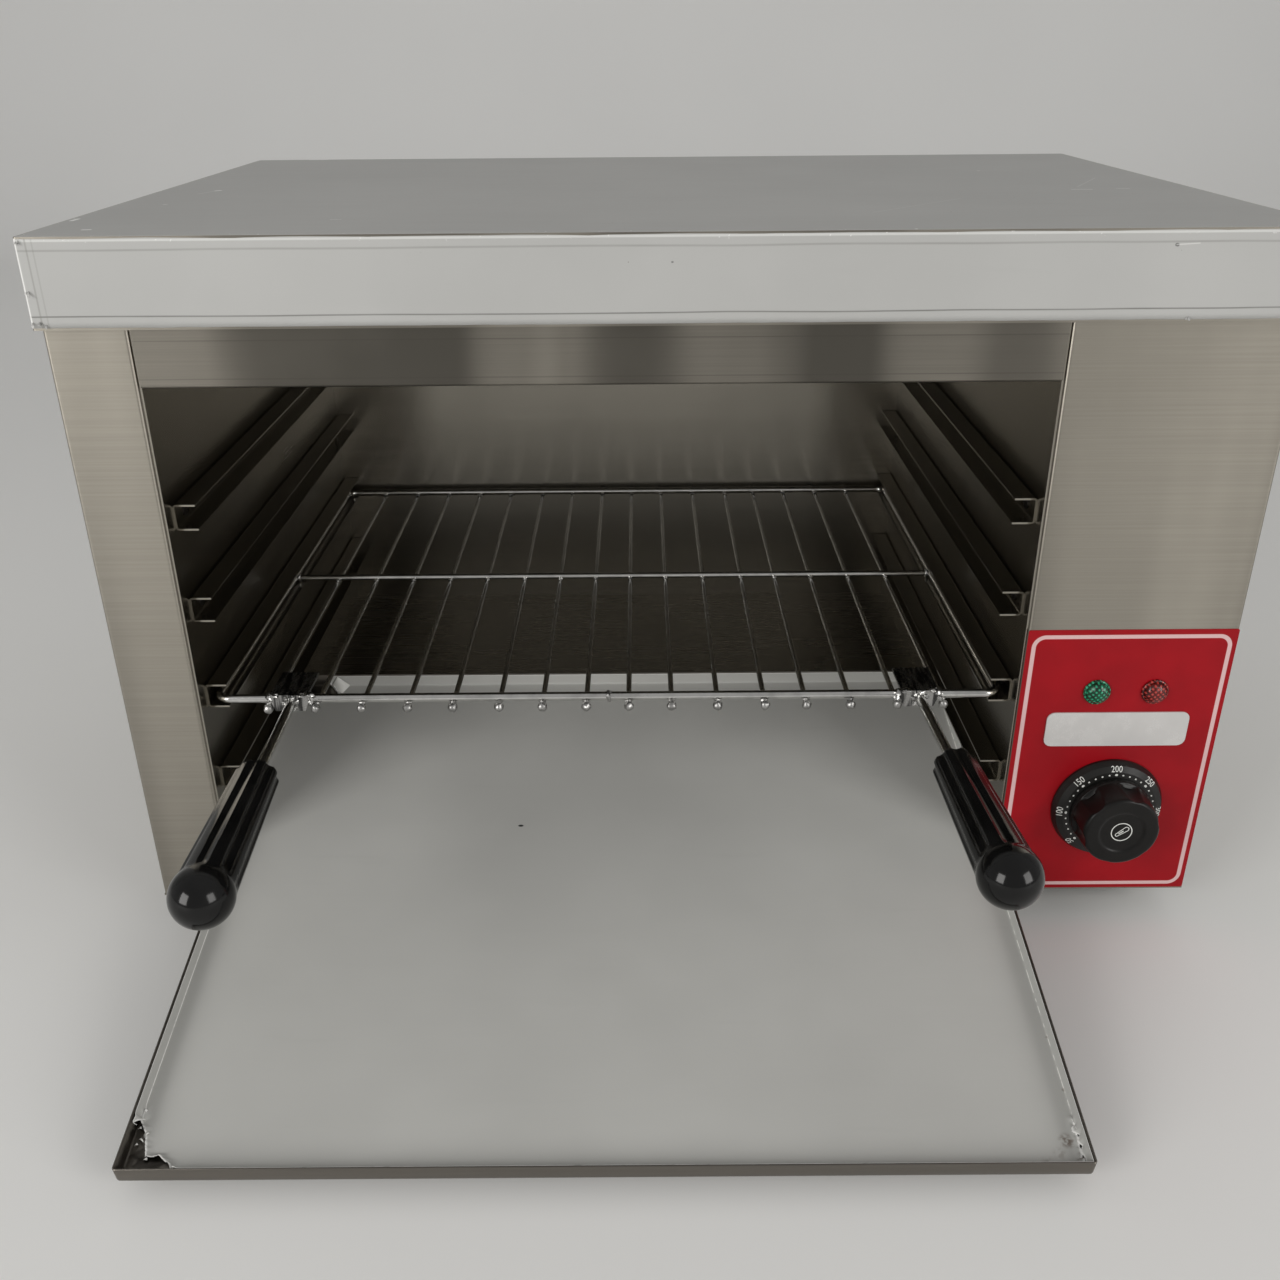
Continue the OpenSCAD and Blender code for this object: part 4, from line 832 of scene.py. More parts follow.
class GRILL_OT_handles(bpy.types.Operator):
    """Make the grips, and the welds that hold the brackets and rods"""

    bl_idname = "grill.handles"
    bl_label = "Handles"

    def grip(self, handles):
        """Fluted cone that ends in a ball. The radius at distance s grows from the thin to the thick
        end; each flute takes a round groove out of it, which fades out before the ball."""
        p, mouth, round_r = handles, 0.0022, 0.0034
        inner = rounded_profile(
            [(0.0, 0.0016), (0.0036, 0.0016), (0.0050, 0.0), (p.thin - 0.0006, 0.0), (p.thin, mouth)],
            [0.0, 0.0008, 0.0015], 4,
        )
        meet = p.grip - math.sqrt(p.ball**2 - (p.thick - 0.0003) ** 2)
        s = np.linspace(mouth, meet, 46)[1:]
        cone = np.stack([p.thin + (p.thick - 0.0003 - p.thin) * (s - mouth) / (meet - mouth), s], -1)
        start = math.atan2(p.thick - 0.0001, meet - p.grip)
        bow = np.linspace(start, 0, 26)
        ball = np.stack([p.ball * np.sin(bow), p.grip + p.ball * np.cos(bow)], -1)
        ball[-1, 0] = 0.0
        profile = np.concatenate([inner, cone, ball])

        def flutes(turn, r, s):
            """Circular grooves, sunk by the flute depth."""
            share = (turn * p.flutes / (2 * np.pi) + 0.5) % 1.0 - 0.5
            off = share * (2 * np.pi / p.flutes) * np.maximum(r, 0.006)
            sunk = np.sqrt(np.maximum(round_r**2 - off**2, 0)) - (round_r - p.flute)
            fade = np.clip((meet - 0.0004 - s) / 0.0035, 0, 1) * np.clip((r - 0.0075) / 0.0012, 0, 1)
            soft = np.log1p(np.exp(np.clip(sunk / 0.00012, -40, 40))) * 0.00012
            return r - soft * fade * fade * (3 - 2 * fade)

        return lathe(profile[:, 0], profile[:, 1], 192, flutes)

    def execute(self, context):
        handles, metals = context.scene.grill_handles, context.scene.grill_metals
        points, faces = self.grip(handles)
        black = moulded(
            "bakelite", handles.bakelite, rough=0.12, grain=500.0, depth=0.000012, spread=0.3, shine=0.3
        )
        chrome = bright_wire("bracket_weld", shade(metals.chrome, 0.8), 0.20, 0.00003)
        welds = []
        for side in ("left", "right"):
            start, drop, swing = (getattr(handles, f"{side}_{part}") for part in ("start", "drop", "swing"))
            turn, origin = handle_frame(start, drop, swing)
            placed = (points + [0, 0, handles.rod]) @ turn.T + origin
            piece = add_piece(side + "_fluted_grip", placed, faces, black, "rack", keep=30.0)
            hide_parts(side + "_grip")
            low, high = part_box(side + "_bracket")
            welds += self.weld_places(low, high, origin)
        places, sizes = np.array(welds)[:, :3], np.array(welds)[:, 3:]
        points, faces = lumps(9, places, sizes, 0.34, 11, 16)
        piece = add_piece("bracket_welds", points, faces, chrome, "rack")
        dress(self.streaked(metals.chrome), "left_bracket", "right_bracket")
        return {"FINISHED"}

    def streaked(self, base):
        """Plated sheet with dark and light upright streaks, as it mirrors what is round it."""
        finish = Finish("bracket_chrome")
        x, y, z = finish.place()
        streak = finish.noise(finish.point(x * 420.0, y * 60.0, z * 40.0), detail=2.0)
        fine = finish.noise(finish.point(x, y, z), scale=1100.0, detail=2.0)
        body = finish.blend(streak.ramp(0.40, 0.58), shade(base, 0.10), shade(base, 0.62))
        return finish.surface(
            Base_Color=body,
            Metallic=1.0,
            Roughness=fine * 0.15 + 0.2,
            Normal=finish.bump(fine + streak, 0.0001, 0.5),
        )

    def weld_places(self, low, high, root):
        """Where the bracket is welded: along the front wire at both ends, and round the rod's root."""
        rows = []
        front, top, ring = low.y, high.z, 0.0037
        for x, way in ((low.x, -1), (high.x, 1)):
            rows += [
                (x + way * 0.0004, front + 0.0026, top - 0.0022, 0.0026, 0.0028, 0.0023),
                (x - way * 0.0028, front + 0.0010, top - 0.0005, 0.0024, 0.0020, 0.0012),
                (x + way * 0.0012, front + 0.0016, top - 0.0052, 0.0019, 0.0020, 0.0020),
            ]
        for turn in np.radians([20, 75, 130, 175, 230, 300]):
            x, z = root[0] + ring * math.cos(turn), root[2] + ring * math.sin(turn)
            rows.append((x, front - 0.0003, z, 0.0014, 0.0012, 0.0013))
        return rows


class GRILL_OT_tray(bpy.types.Operator):
    """Make the crumb tray's folded pan and its torn film"""

    bl_idname = "grill.tray"
    bl_label = "Crumb tray"

    # Torn places in millimetres, measured along the film from its upper edges on the lips.
    torn = {
        "front left": (
            (-9, -9), (-9, 29.1), (0, 29.1), (2.1, 32.8), (7.0, 36.5), (8.2, 42.4), (8.9, 37.7), (9.0, 35.3),
            (13.3, 28.8), (14.5, 25.0), (16.2, 19.0), (16.4, 17.6), (19.8, 16.7), (23.4, 17.2), (26.2, 15.0),
            (28.7, 13.5), (31, 9), (33, 0), (33, -9),
        ),
        "front right": ((8.3, 33), (6.2, 24), (5.4, 14), (5.6, 8), (9.6, 8), (9.9, 14), (9.2, 24)),
        "rear left": (
            (-9, -9), (-9, 20), (9, 20.8), (20, 19.3), (31, 20.4), (41.1, 19.8), (33.8, 8.6), (31.5, 0),
            (31.5, -9),
        ),
    }

    def marks(self, finish, place, body):
        """Painted highlights along the folds, a bright torn rim, grime near the front right corner and a
        speck.
        """
        x, y, _ = place
        across, along, left, rim = (finish.attribute(name) for name in ("across", "along", "left", "rim"))
        patchy = finish.noise(finish.point(x * 160.0, y * 160.0, 0.0), detail=2.0)
        # Painted highlights: bright lines on the film's left and right folds, the right one patchy.
        crease = (left - 0.0080).size().ramp(0.00042, 0.00018) * patchy.ramp(0.25, 0.45)
        broken_fold_highlight = (across - 0.0080).size().ramp(0.00040, 0.00018) * patchy.ramp(0.42, 0.55)
        body = finish.blend(crease * 0.9, body, (0.92, 0.91, 0.88))
        body = finish.blend(broken_fold_highlight * 0.9, body, (0.90, 0.89, 0.85))
        body = finish.blend(rim.ramp(0.35, 0.85) * patchy.ramp(0.25, 0.45) * 0.9, body, (0.92, 0.92, 0.90))
        dirt = finish.noise(finish.point(x * 420.0, y * 420.0, 0.0), detail=3.0)
        for centre, reach, share in (
            ((0.0143, 0.0228), 0.0050, 0.9),
            ((0.0107, 0.0144), 0.0028, 0.5),
            ((0.0105, 0.0120), 0.0030, 0.55),
            ((0.0251, 0.0116), 0.0050, 0.35),
            ((0.0193, 0.0165), 0.0042, 0.35),
            ((0.0085, 0.078), 0.0016, 0.6),
            ((0.0085, 0.049), 0.0014, 0.6),
        ):
            gap = span([across - centre[0], along - centre[1]])
            spot = gap.ramp(reach, reach * 0.2) * dirt.ramp(0.40, 0.62) * share
            body = finish.blend(spot, body, (0.17, 0.135, 0.11))
        speck = fleck(place, (-0.0898, -0.1806, 0.0), 0.0011, (0.55, 1.0, 0.0))
        return finish.blend(speck, body, (0.03, 0.03, 0.03))

    def lifted(self, tray, points, gap):
        """Points on the pan, at a depth of gap inside its outer face, raised where the lower corners of
        the front and rear lips are round: z is at least R - sqrt(R^2 - e^2), e being how far a point is
        past the arc's middle. The rise fades out within 7 mm of the ends."""
        half = np.array([tray.width, tray.depth]) / 2
        r = tray.round - gap
        past = np.clip(np.abs(points[..., 0]) - (half[0] - tray.round), 0, r)
        rise = gap + r - np.sqrt(np.maximum(r**2 - past**2, 0))
        near = np.clip(1 - (half[1] - np.abs(points[..., 1] - half[1])) / 0.007, 0, 1)
        near = near * near * (3 - 2 * near)
        points[..., 2] += near * np.maximum(rise - points[..., 2], 0)
        return points

    def pan(self, tray):
        """Folded pan: the lip's section, out from the floor and up, carried round a rectangle whose
        upright corners are round at the outside."""
        half = np.array([tray.width, tray.depth]) / 2
        ring, outward = outline(half, 0.0018, 60, 6, crowd=True)
        t, lip = tray.sheet, tray.lip
        bend = np.linspace(0, np.pi / 2, 6)
        outer, inner = 0.0020, 0.0010
        out = np.stack([-outer + outer * np.sin(bend), outer - outer * np.cos(bend)], -1)
        back = np.stack([-t - inner + inner * np.sin(bend), t + inner - inner * np.cos(bend)], -1)[::-1]
        top = [(0.0, lip - 0.0003), (-0.0003, lip), (-t + 0.0003, lip), (-t, lip - 0.0003)]
        inside = -0.030 - np.linspace(0, 1, 4)[:, None] * (half[1] * 0.9 - 0.030)
        flat = np.concatenate([inside, inside * 0], 1)[::-1]
        near = np.array([(-0.012, 0.0), (-0.007, 0.0), (-0.004, 0.0)])
        section = np.concatenate([flat, near, out, top, back, near[::-1] + [0, t], flat[::-1] + [0, t]])
        offsets, heights = section.T
        rows = ring[None] + outward[None] * offsets[:, None, None]
        far = offsets < -0.020
        share = 1 + offsets[far] / half[1]
        rows[far] = (ring - 0.012 * outward)[None] * share[:, None, None]
        points = np.concatenate([rows, np.broadcast_to(heights[:, None, None], (*rows.shape[:2], 1))], -1)
        points[..., 1] += half[1]
        count = len(section) // 2
        points[:count] = self.lifted(tray, points[:count], 0.0)
        points[count:] = self.lifted(tray, points[count:], t)
        centre = ring * 0.0 + [0, half[1]]
        caps = [np.concatenate([centre, np.full((len(ring), 1), h)], -1)[None] for h in (0.0, t)]
        points = np.concatenate([caps[0], points, caps[1]])
        return tray_place(tray, points), grid_faces(len(points), len(ring))

    def film(self, tray):
        """Film pressed into the pan. A sheet with coordinates a and b, measured along it from its upper
        edges, lies flat beyond a reach of lip and fold; nearer, it turns up round the fold by the angle
        s / r and climbs the lip, s being the larger of both distances past the flat. Where it is torn
        its faces are left out, and the points at the tear are moved onto it, curled up and crumpled."""
        reach = tray.lip - tray.bare - tray.fold - tray.sheet + tray.fold * np.pi / 2
        edge = tray.sheet + 0.0002 + tray.fold
        spans = np.array([tray.width, tray.depth]) - 2 * edge + 2 * reach
        a = np.concatenate([
            np.arange(0, 0.0455, 0.0007), np.linspace(0.0455, spans[0] - 0.0140, 56)[:-1],
            spans[0] - 0.0140 + np.arange(0, 0.01405, 0.0007),
        ])
        b = np.concatenate([
            np.arange(0, 0.0462, 0.0007), np.linspace(0.0462, spans[1] - 0.0245, 44)[:-1],
            spans[1] - 0.0245 + np.arange(0, 0.02455, 0.0007),
        ])
        sheet = np.stack(np.meshgrid(a, b, indexing="xy"), -1).reshape(-1, 2)
        quads = grid_faces(len(b), len(a), ring=False)
        rim = np.full(len(sheet), 1.0)
        gone = np.zeros(len(sheet), bool)
        for name, corners in self.torn.items():
            hole = np.array(corners, float) / 1000
            if "right" in name:
                hole[:, 0] = spans[0] - hole[:, 0]
            if "rear" in name:
                hole[:, 1] = spans[1] - hole[:, 1]
            close = np.flatnonzero((np.abs(sheet - hole.mean(0)) < np.ptp(hole, axis=0) / 2 + 0.012).all(1))
            within, foot, gap = self.against(sheet[close], hole)
            rim[close] = np.minimum(rim[close], np.where(within, 0.0, gap))
            gone[close[within]] = True
            quads = quads[~gone[quads].all(1)]
            used = np.zeros(len(sheet), bool)
            used[quads.ravel()] = True
            moved = used[close] & within
            sheet[close[moved]] = foot[moved]
            gone[close[moved]] = False
        border = np.minimum(sheet, spans - sheet).min(1)
        past = np.stack([
            np.maximum(reach - sheet[:, 0], 0) - np.maximum(sheet[:, 0] - spans[0] + reach, 0),
            np.maximum(reach - sheet[:, 1], 0) - np.maximum(sheet[:, 1] - spans[1] + reach, 0),
        ], -1)
        s = np.abs(past).max(1)
        way = -past / np.maximum(s, 1e-9)[:, None]
        turn = np.minimum(s / tray.fold, np.pi / 2)
        out = tray.fold * np.sin(turn)
        up = tray.fold * (1 - np.cos(turn)) + np.maximum(s - tray.fold * np.pi / 2, 0)
        middle = spans / 2
        flat = np.clip(sheet - middle, reach - middle, middle - reach)
        points = np.zeros((len(sheet), 3))
        points[:, :2] = flat + way * out[:, None]
        points[:, 1] += tray.depth / 2
        points[:, 2] = tray.sheet + up
        spots = points[:, :2]
        curl = np.clip(1 - rim / 0.0042, 0, 1) ** 2
        crumple = unevenness(43, spots, 0.0055)
        lift = 0.0024 * curl * (0.75 + 0.7 * crumple)
        air = 0.00012 + 0.00016 * (1 + unevenness(47, spots, 0.09)) * np.clip(1 - s / 0.002, 0, 1)
        normal = np.concatenate([-way * np.sin(turn)[:, None], np.cos(turn)[:, None]], -1)
        points = self.lifted(tray, points, tray.sheet)
        points += normal * (lift + air)[:, None]
        order = np.unique(quads)
        fresh = np.zeros(len(sheet), int)
        fresh[order] = np.arange(len(order))
        fields = {
            "across": spans[0] - sheet[order, 0],
            "left": sheet[order, 0],
            "along": sheet[order, 1],
            "rim": np.clip(1 - np.minimum(rim, border + 0.0004)[order] / 0.0016, 0, 1),
        }
        return tray_place(tray, points[order]), fresh[quads], fields

    def against(self, spots, corners):
        """For each spot: whether it lies in the polygon, which an odd number of crossed sides to its
        right tells, the nearest point of the polygon's sides, and the gap to it."""
        a, b = corners, np.roll(corners, -1, 0)
        x, y = spots[:, 0, None], spots[:, 1, None]
        between = (a[:, 1] > y) != (b[:, 1] > y)
        rise = np.where(a[:, 1] == b[:, 1], 1.0, b[:, 1] - a[:, 1])
        crossed = between & (x < (b[:, 0] - a[:, 0]) * (y - a[:, 1]) / rise + a[:, 0])
        way = b - a
        share = np.clip(((spots[:, None] - a) * way).sum(-1) / (way**2).sum(-1), 0, 1)
        feet = a + share[..., None] * way
        gaps = np.linalg.norm(feet - spots[:, None], axis=-1)
        best = gaps.argmin(1)
        rows = np.arange(len(spots))
        return crossed.sum(1) % 2 == 1, feet[rows, best], gaps[rows, best]

    def flap(self, tray):
        """Folded flap at the rear left: a patch between four corners that bulges by the product of two
        sines."""
        u, v = np.meshgrid(np.linspace(0, 1, 16), np.linspace(0, 1, 16), indexing="xy")
        u, v = u[..., None], v[..., None]
        corners = np.array([
            (-0.1855, 0.3438, 0.0015),
            (-0.1928, 0.3542, 0.0020),
            (-0.1882, 0.3552, 0.0093),
            (-0.1802, 0.3546, 0.0022),
        ])
        near = (1 - v) * corners[0] + v * corners[1]
        far = v * corners[2] + (1 - v) * corners[3]
        points = (1 - u) * near + u * far
        points = points + np.array([0.55, -0.75, 0.35]) * 0.0012 * np.sin(np.pi * u) * np.sin(np.pi * v)
        points[..., 1] = np.minimum(points[..., 1], tray.depth - tray.sheet - 0.0003)
        return tray_place(tray, points), grid_faces(16, 16, ring=False)

    def shreds(self, tray):
        """Loose bits in the torn corner: short strips that curl up and fade to a point."""
        rng = np.random.default_rng(57)
        left = -tray.width / 2
        roots = np.array([
            (left + 0.0043, 0.0205),
            (left + 0.0030, 0.0176),
            (left + 0.0058, 0.0215),
            (left + 0.0098, 0.0108),
            (left + 0.0022, 0.0262),
        ])
        roots = np.concatenate([roots, np.full((len(roots), 1), tray.sheet + 0.0003)], 1)[:, None, :]
        count = len(roots)
        s = np.linspace(0, 1, 8)[None, :, None]
        ways = np.stack([rng.uniform(0.2, 1.0, count), rng.uniform(-1.0, 1.0, count), np.zeros(count)], -1)
        ways = ways[:, None, :]
        ways /= np.linalg.norm(ways, axis=-1, keepdims=True)
        reach = np.array([0.0042, 0.0017, 0.0030, 0.0020, 0.0022])[:, None, None]
        spine = roots + ways * reach * s + np.array([0, 0, 1.0]) * reach * 0.6 * np.sin(s * 2.6)
        across = np.stack([-ways[..., 1], ways[..., 0], np.zeros_like(ways[..., 0])], -1)
        width = rng.uniform(0.0005, 0.0011, (count, 1, 1)) * (1 - s) ** 0.5
        points, faces = strips(spine, across, width)
        return tray_place(tray, points), faces

    def execute(self, context):
        tray, metals = context.scene.grill_tray, context.scene.grill_metals
        points, faces = self.pan(tray)
        # The tray's steel colour is painted dark, as painted shade.
        steel = brushed("tray_sheet", metals.tray, lie="flat", rough=0.30, wave=0.5)
        pan = add_piece("tray_folded_pan", points, faces, steel, "tray", keep=50.0)
        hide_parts("tray_pan")
        material = film_finish("tray_film_finish", tray.film, self.marks)
        points, faces, fields = self.film(tray)
        skin = add_piece("tray_film_skin", points, faces, material, "tray", closed=False, fields=fields)
        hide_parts("tray_film")
        # Painted light: the flap and the torn bits take the film's colour made 1.7 times lighter.
        lit_loose_film = film_finish("tray_shred_finish", shade(tray.film, 1.7))
        points, faces = joined([self.flap(tray), self.shreds(tray)])
        bits = add_piece("tray_film_shreds", points, faces, lit_loose_film, "tray", closed=False)
        for piece in (skin, bits):
            thicken(piece, 0.00015, 1.0)
        return {"FINISHED"}


class GRILL_OT_dial(bpy.types.Operator):
    """Make the knob, and print the scale with its dots and numbers"""

    bl_idname = "grill.dial"
    bl_label = "Dial"

    # Depth of the dish in the knob's face, and the angle in degrees at which the pointer stands.
    sunk = 0.0009
    pointer = 244

    def knob(self, controls):
        """Knob: a tapering drum with a round-edged face and a shallow dish in it. Six round scallops
        are taken out of its side above the skirt."""
        p = controls
        profile = rounded_profile(
            [
                (p.skirt - 0.0040, 0.0), (p.skirt, 0.0), (p.skirt, 0.0030), (p.skirt - 0.0004, 0.0036),
                (p.face, p.knob), (p.dish + 0.0012, p.knob), (p.dish - 0.0002, p.knob - self.sunk),
                (p.sign + 0.0010, p.knob - self.sunk), (0.0, p.knob - self.sunk),
            ],
            [0.0004, 0.0006, 0.0003, 0.0024, 0.0009, 0.0009, 0.0004], 6,
        )
        profile = finer(np.concatenate([[(0.0032, 0.0)], profile]), 0.0011)
        count, first, bite, depth, waist = 6, math.radians(15), 0.016, 0.0026, 0.017

        def scallops(turn, r, h):
            """Circles outside the drum bite into it."""
            away = ((turn - first) * count / (2 * np.pi) + 0.5) % 1.0 - 0.5
            off = away * 2 * np.pi / count
            far = p.skirt + bite - depth
            inside = bite**2 - (far * np.sin(off)) ** 2
            cut = np.where(inside > 0, far * np.cos(off) - np.sqrt(np.maximum(inside, 0)), 1.0)
            on = np.clip((h - 0.0034) / 0.0012, 0, 1)
            rim = np.clip((p.knob - 0.0002 - h) / 0.0006, 0, 1)
            limit = np.where(r > waist, np.minimum(r, cut), r)
            soft = 0.5 * (r + limit) - 0.5 * np.sqrt((r - limit) ** 2 + 0.0002**2) + 0.0001
            soft = np.where(r > waist, np.minimum(r, soft), r)
            outer = np.maximum(rim, np.clip((r - 0.0188) / 0.001, 0, 1))
            return r + (soft - r) * on * on * (3 - 2 * on) * outer

        return lathe(profile[:, 0], profile[:, 1], 240, scallops)

    def ribbon(self, line, width, height):
        """Printed line of one width: two offsets of a closed path, with walls of the given height."""
        line = np.asarray(line, float)
        ahead = np.roll(line, -1, 0) - np.roll(line, 1, 0)
        ahead /= np.linalg.norm(ahead, axis=1, keepdims=True)
        side = np.stack([-ahead[:, 1], ahead[:, 0]], -1) * width / 2
        low, high = np.zeros((len(line), 1)), np.full((len(line), 1), height)
        rows = [
            np.concatenate([line - side, low], 1), np.concatenate([line - side, high], 1),
            np.concatenate([line + side, high], 1), np.concatenate([line + side, low], 1),
        ]
        return np.stack(rows), grid_faces(4, len(line))

    def sign(self, controls):
        """Sign on the knob: a ring round a thermometer, whose outline is two arcs of different radius
        joined by straight sides, with a thin column inside."""
        ring_turn = np.linspace(0, 2 * np.pi, 72, endpoint=False)
        ring = controls.sign * np.stack([np.cos(ring_turn), np.sin(ring_turn)], -1)
        bulb, stem, long = 0.00135, 0.00085, 0.0060
        lean = math.asin((bulb - stem) / long)
        far = np.linspace(-np.pi / 2 - lean, np.pi / 2 + lean, 16) + np.pi
        near = np.linspace(-np.pi / 2 + lean, np.pi / 2 - lean, 10)
        glass = np.concatenate([
            np.stack([stem * np.cos(near) + long / 2, stem * np.sin(near)], -1),
            np.stack([bulb * np.cos(far) - long / 2, bulb * np.sin(far)], -1),
        ])
        inner = np.linspace(0, 2 * np.pi, 20, endpoint=False)
        column = np.stack([0.0016 * np.cos(inner) + 0.0004, 0.00022 * np.sin(inner)], -1)
        spin = spun(math.radians(218))[:2, :2]
        lines = ((ring, 0.00052), (glass @ spin.T, 0.00042), (column @ spin.T, 0.0003))
        return joined([self.ribbon(line, width, 0.00006) for line, width in lines])

    def scale_height(self, r):
        """Height of the scale ring's surface over the label, by radius."""
        low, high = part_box("scale_ring")
        full, outer = high.y - low.y, (high.x - low.x) / 2
        skirt = bpy.context.scene.grill_controls.skirt
        return np.interp(
            r, [skirt, outer - 0.005, outer - 0.0016, outer], [full, full - 0.0004, full - 0.0018, 0.0015]
        )

    def dots(self, controls):
        """Printed dots every fifth of a step; those at the numbers are larger. Each is a low dome."""
        count = 26
        steps = np.arange(count)
        big = steps % 5 == 0
        turn = controls.first - controls.step * steps / 5
        radii, heights = [0.0, 0.6, 1.0, 1.0], [1.0, 0.9, 0.35, -0.4]
        dome, quads = lathe(radii, heights, 12)
        size = np.where(big, 0.00088, 0.00054)[:, None, None, None] * [1.0, 1.0, 0.0] + [0.0, 0.0, 0.00007]
        height = np.full(count, self.scale_height(controls.dots))
        centre = np.stack([controls.dots * np.cos(turn), controls.dots * np.sin(turn), height], -1)
        points = centre[:, None, None, :] + dome[None] * size
        return points.reshape(-1, 3), repeated(quads, count, dome.shape[0] * dome.shape[1])

    def numbers(self, controls, centre, material):
        """Numbers of the scale: letters bent so that they stand on the ring, reading outwards."""
        for index, words in enumerate(("50", "100", "150", "200", "250", "300")):
            curve = bpy.data.curves.new("scale_number", "FONT")
            curve.body, curve.align_x, curve.size = words, "CENTER", controls.digit * 1.38
            curve.extrude, curve.resolution_u = 0.00004, 4
            letters = bpy.data.objects.new("scale_number", curve)
            bpy.context.scene.collection.objects.link(letters)
            bpy.context.view_layer.update()
            drawn = letters.evaluated_get(bpy.context.evaluated_depsgraph_get())
            mesh = bpy.data.meshes.new_from_object(drawn)
            bpy.data.objects.remove(letters)
            spots = np.zeros(len(mesh.vertices) * 3, np.float32)
            mesh.vertices.foreach_get("co", spots)
            spots = spots.reshape(-1, 3).astype(float)
            r = controls.numbers + spots[:, 1]
            middle = controls.numbers + controls.digit / 2
            turn = controls.first - controls.step * index - spots[:, 0] * 0.93 / middle
            height = self.scale_height(r) + 0.00003 + spots[:, 2]
            flat = np.stack([r * np.cos(turn), r * np.sin(turn), height], -1)
            mesh.vertices.foreach_set("co", facing(flat, centre).astype(np.float32).ravel())
            mesh.materials.clear()
            mesh.materials.append(material)
            mesh.update()
            piece = bpy.data.objects.new(f"scale_number_{words}", mesh)
            bpy.context.scene.collection.objects.link(piece)
            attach(piece, "cabinet")

    def execute(self, context):
        controls = context.scene.grill_controls
        low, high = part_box("knob")
        centre = np.array([(low.x + high.x) / 2, high.y, (low.z + high.z) / 2])
        black = moulded(
            "knob_black", controls.black, rough=0.30, grain=1500.0, depth=0.00003, spread=0.2, shine=0.25
        )
        points, faces = self.knob(controls)
        knob = add_piece("scalloped_knob", facing(points, centre), faces, black, "knob", keep=40.0)
        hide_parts("knob", "knob_cap")
        marks = moulded("printed_marks", controls.marks, rough=0.5, grain=2500.0, depth=0.00001, spread=0.08)
        points, faces = self.sign(controls)
        face = centre - [0, controls.knob - self.sunk, 0]
        sign = add_piece("knob_sign", facing(points, face), faces, marks, "knob")
        bar, quads = lathe([0.0, 0.9, 1.0, 1.0], [1.0, 1.0, 0.6, -0.5], 16)
        bar = bar * [0.00042, 0.0028, 0.0004]
        turn = math.radians(self.pointer)
        spin = spun(math.radians(self.pointer - 90))
        lean = np.array(Matrix.Rotation(math.radians(-80), 3, "X"))
        place = np.array([controls.skirt * math.cos(turn), controls.skirt * math.sin(turn), 0.0033])
        pointer = (bar @ lean.T) @ spin.T + place * [0.985, 0.985, 1.0]
        piece = add_piece("knob_pointer", facing(pointer, centre), quads, marks, "knob")
        ring_centre = np.array([centre[0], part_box("scale_ring")[1].y, centre[2]])
        scale = moulded("scale_black", shade(controls.black, 1.2), rough=0.30, grain=1200.0, shine=0.4)
        dress(scale, "scale_ring")
        points, faces = self.dots(controls)
        dots = add_piece("scale_dots", facing(points, ring_centre), faces, marks, "cabinet")
        self.numbers(controls, ring_centre, marks)
        return {"FINISHED"}


class GRILL_OT_lamps(bpy.types.Operator):
    """Make the two pilot lamps"""

    bl_idname = "grill.lamps"
    bl_label = "Lamps"

    def glass(self, name, tint):
        """Coloured plastic dome: a diamond lattice of dimples under a smooth bright coat, and painted
        highlights as bright dots on the lattice.
        """
        finish = Finish(name)
        x, y, z = finish.place()
        pitch = math.pi / 0.0029
        lattice = ((x + z) * pitch).wave() * ((x - z) * pitch).wave()
        glow = finish.noise(finish.point(x, y, z), scale=160.0, detail=1.0)
        deep = finish.blend(glow.ramp(0.3, 0.7), shade(tint, 0.12), shade(tint, 0.4))
        dots = lattice.size() * (glow * 0.5 + 0.75)
        # Painted highlights: bright dots of the lens colour on the lattice.
        bright = tuple(0.01 + 1.1 * part**0.75 for part in tint)
        light = finish.blend(dots.ramp(0.45, 0.85) * 0.95, deep, bright)
        return finish.surface(
            Base_Color=light,
            Roughness=0.22 + glow * 0.1,
            Specular_IOR_Level=0.3,
            Coat_Weight=0.35,
            Coat_Roughness=0.05,
            Normal=finish.bump(lattice, 0.0003, 0.5),
        )

    def execute(self, context):
        controls = context.scene.grill_controls
        r, h = controls.lens, controls.dome
        bow = np.linspace(0.10, np.pi / 2, 14)
        rim = rounded_profile(
            [(r - 0.0004, 0.0), (r, 0.0), (r, 0.0012), (r - 0.0011, 0.0016), (r - 0.0012, 0.0010)],
            [0.0001, 0.0005, 0.0004], 4,
        )
        dome = np.stack([(r - 0.0012) * np.cos(bow), 0.0010 + (h - 0.0010) * np.sin(bow)], -1)
        dome[-1, 0] = 0.0
        profile = np.concatenate([[(0.0, 0.0)], rim, dome])
        points, faces = lathe(profile[:, 0], profile[:, 1], 64)
        for side, tint in (("green", controls.green), ("red", controls.lamp_red)):
            low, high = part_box(side + "_lens")
            centre = np.array([(low.x + high.x) / 2, low.y + h, (low.z + high.z) / 2])
            plastic = self.glass(side + "_plastic", tint)
            piece = add_piece(side + "_domed_lens", facing(points, centre), faces, plastic, "cabinet")
            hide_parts(side + "_lens")
        return {"FINISHED"}


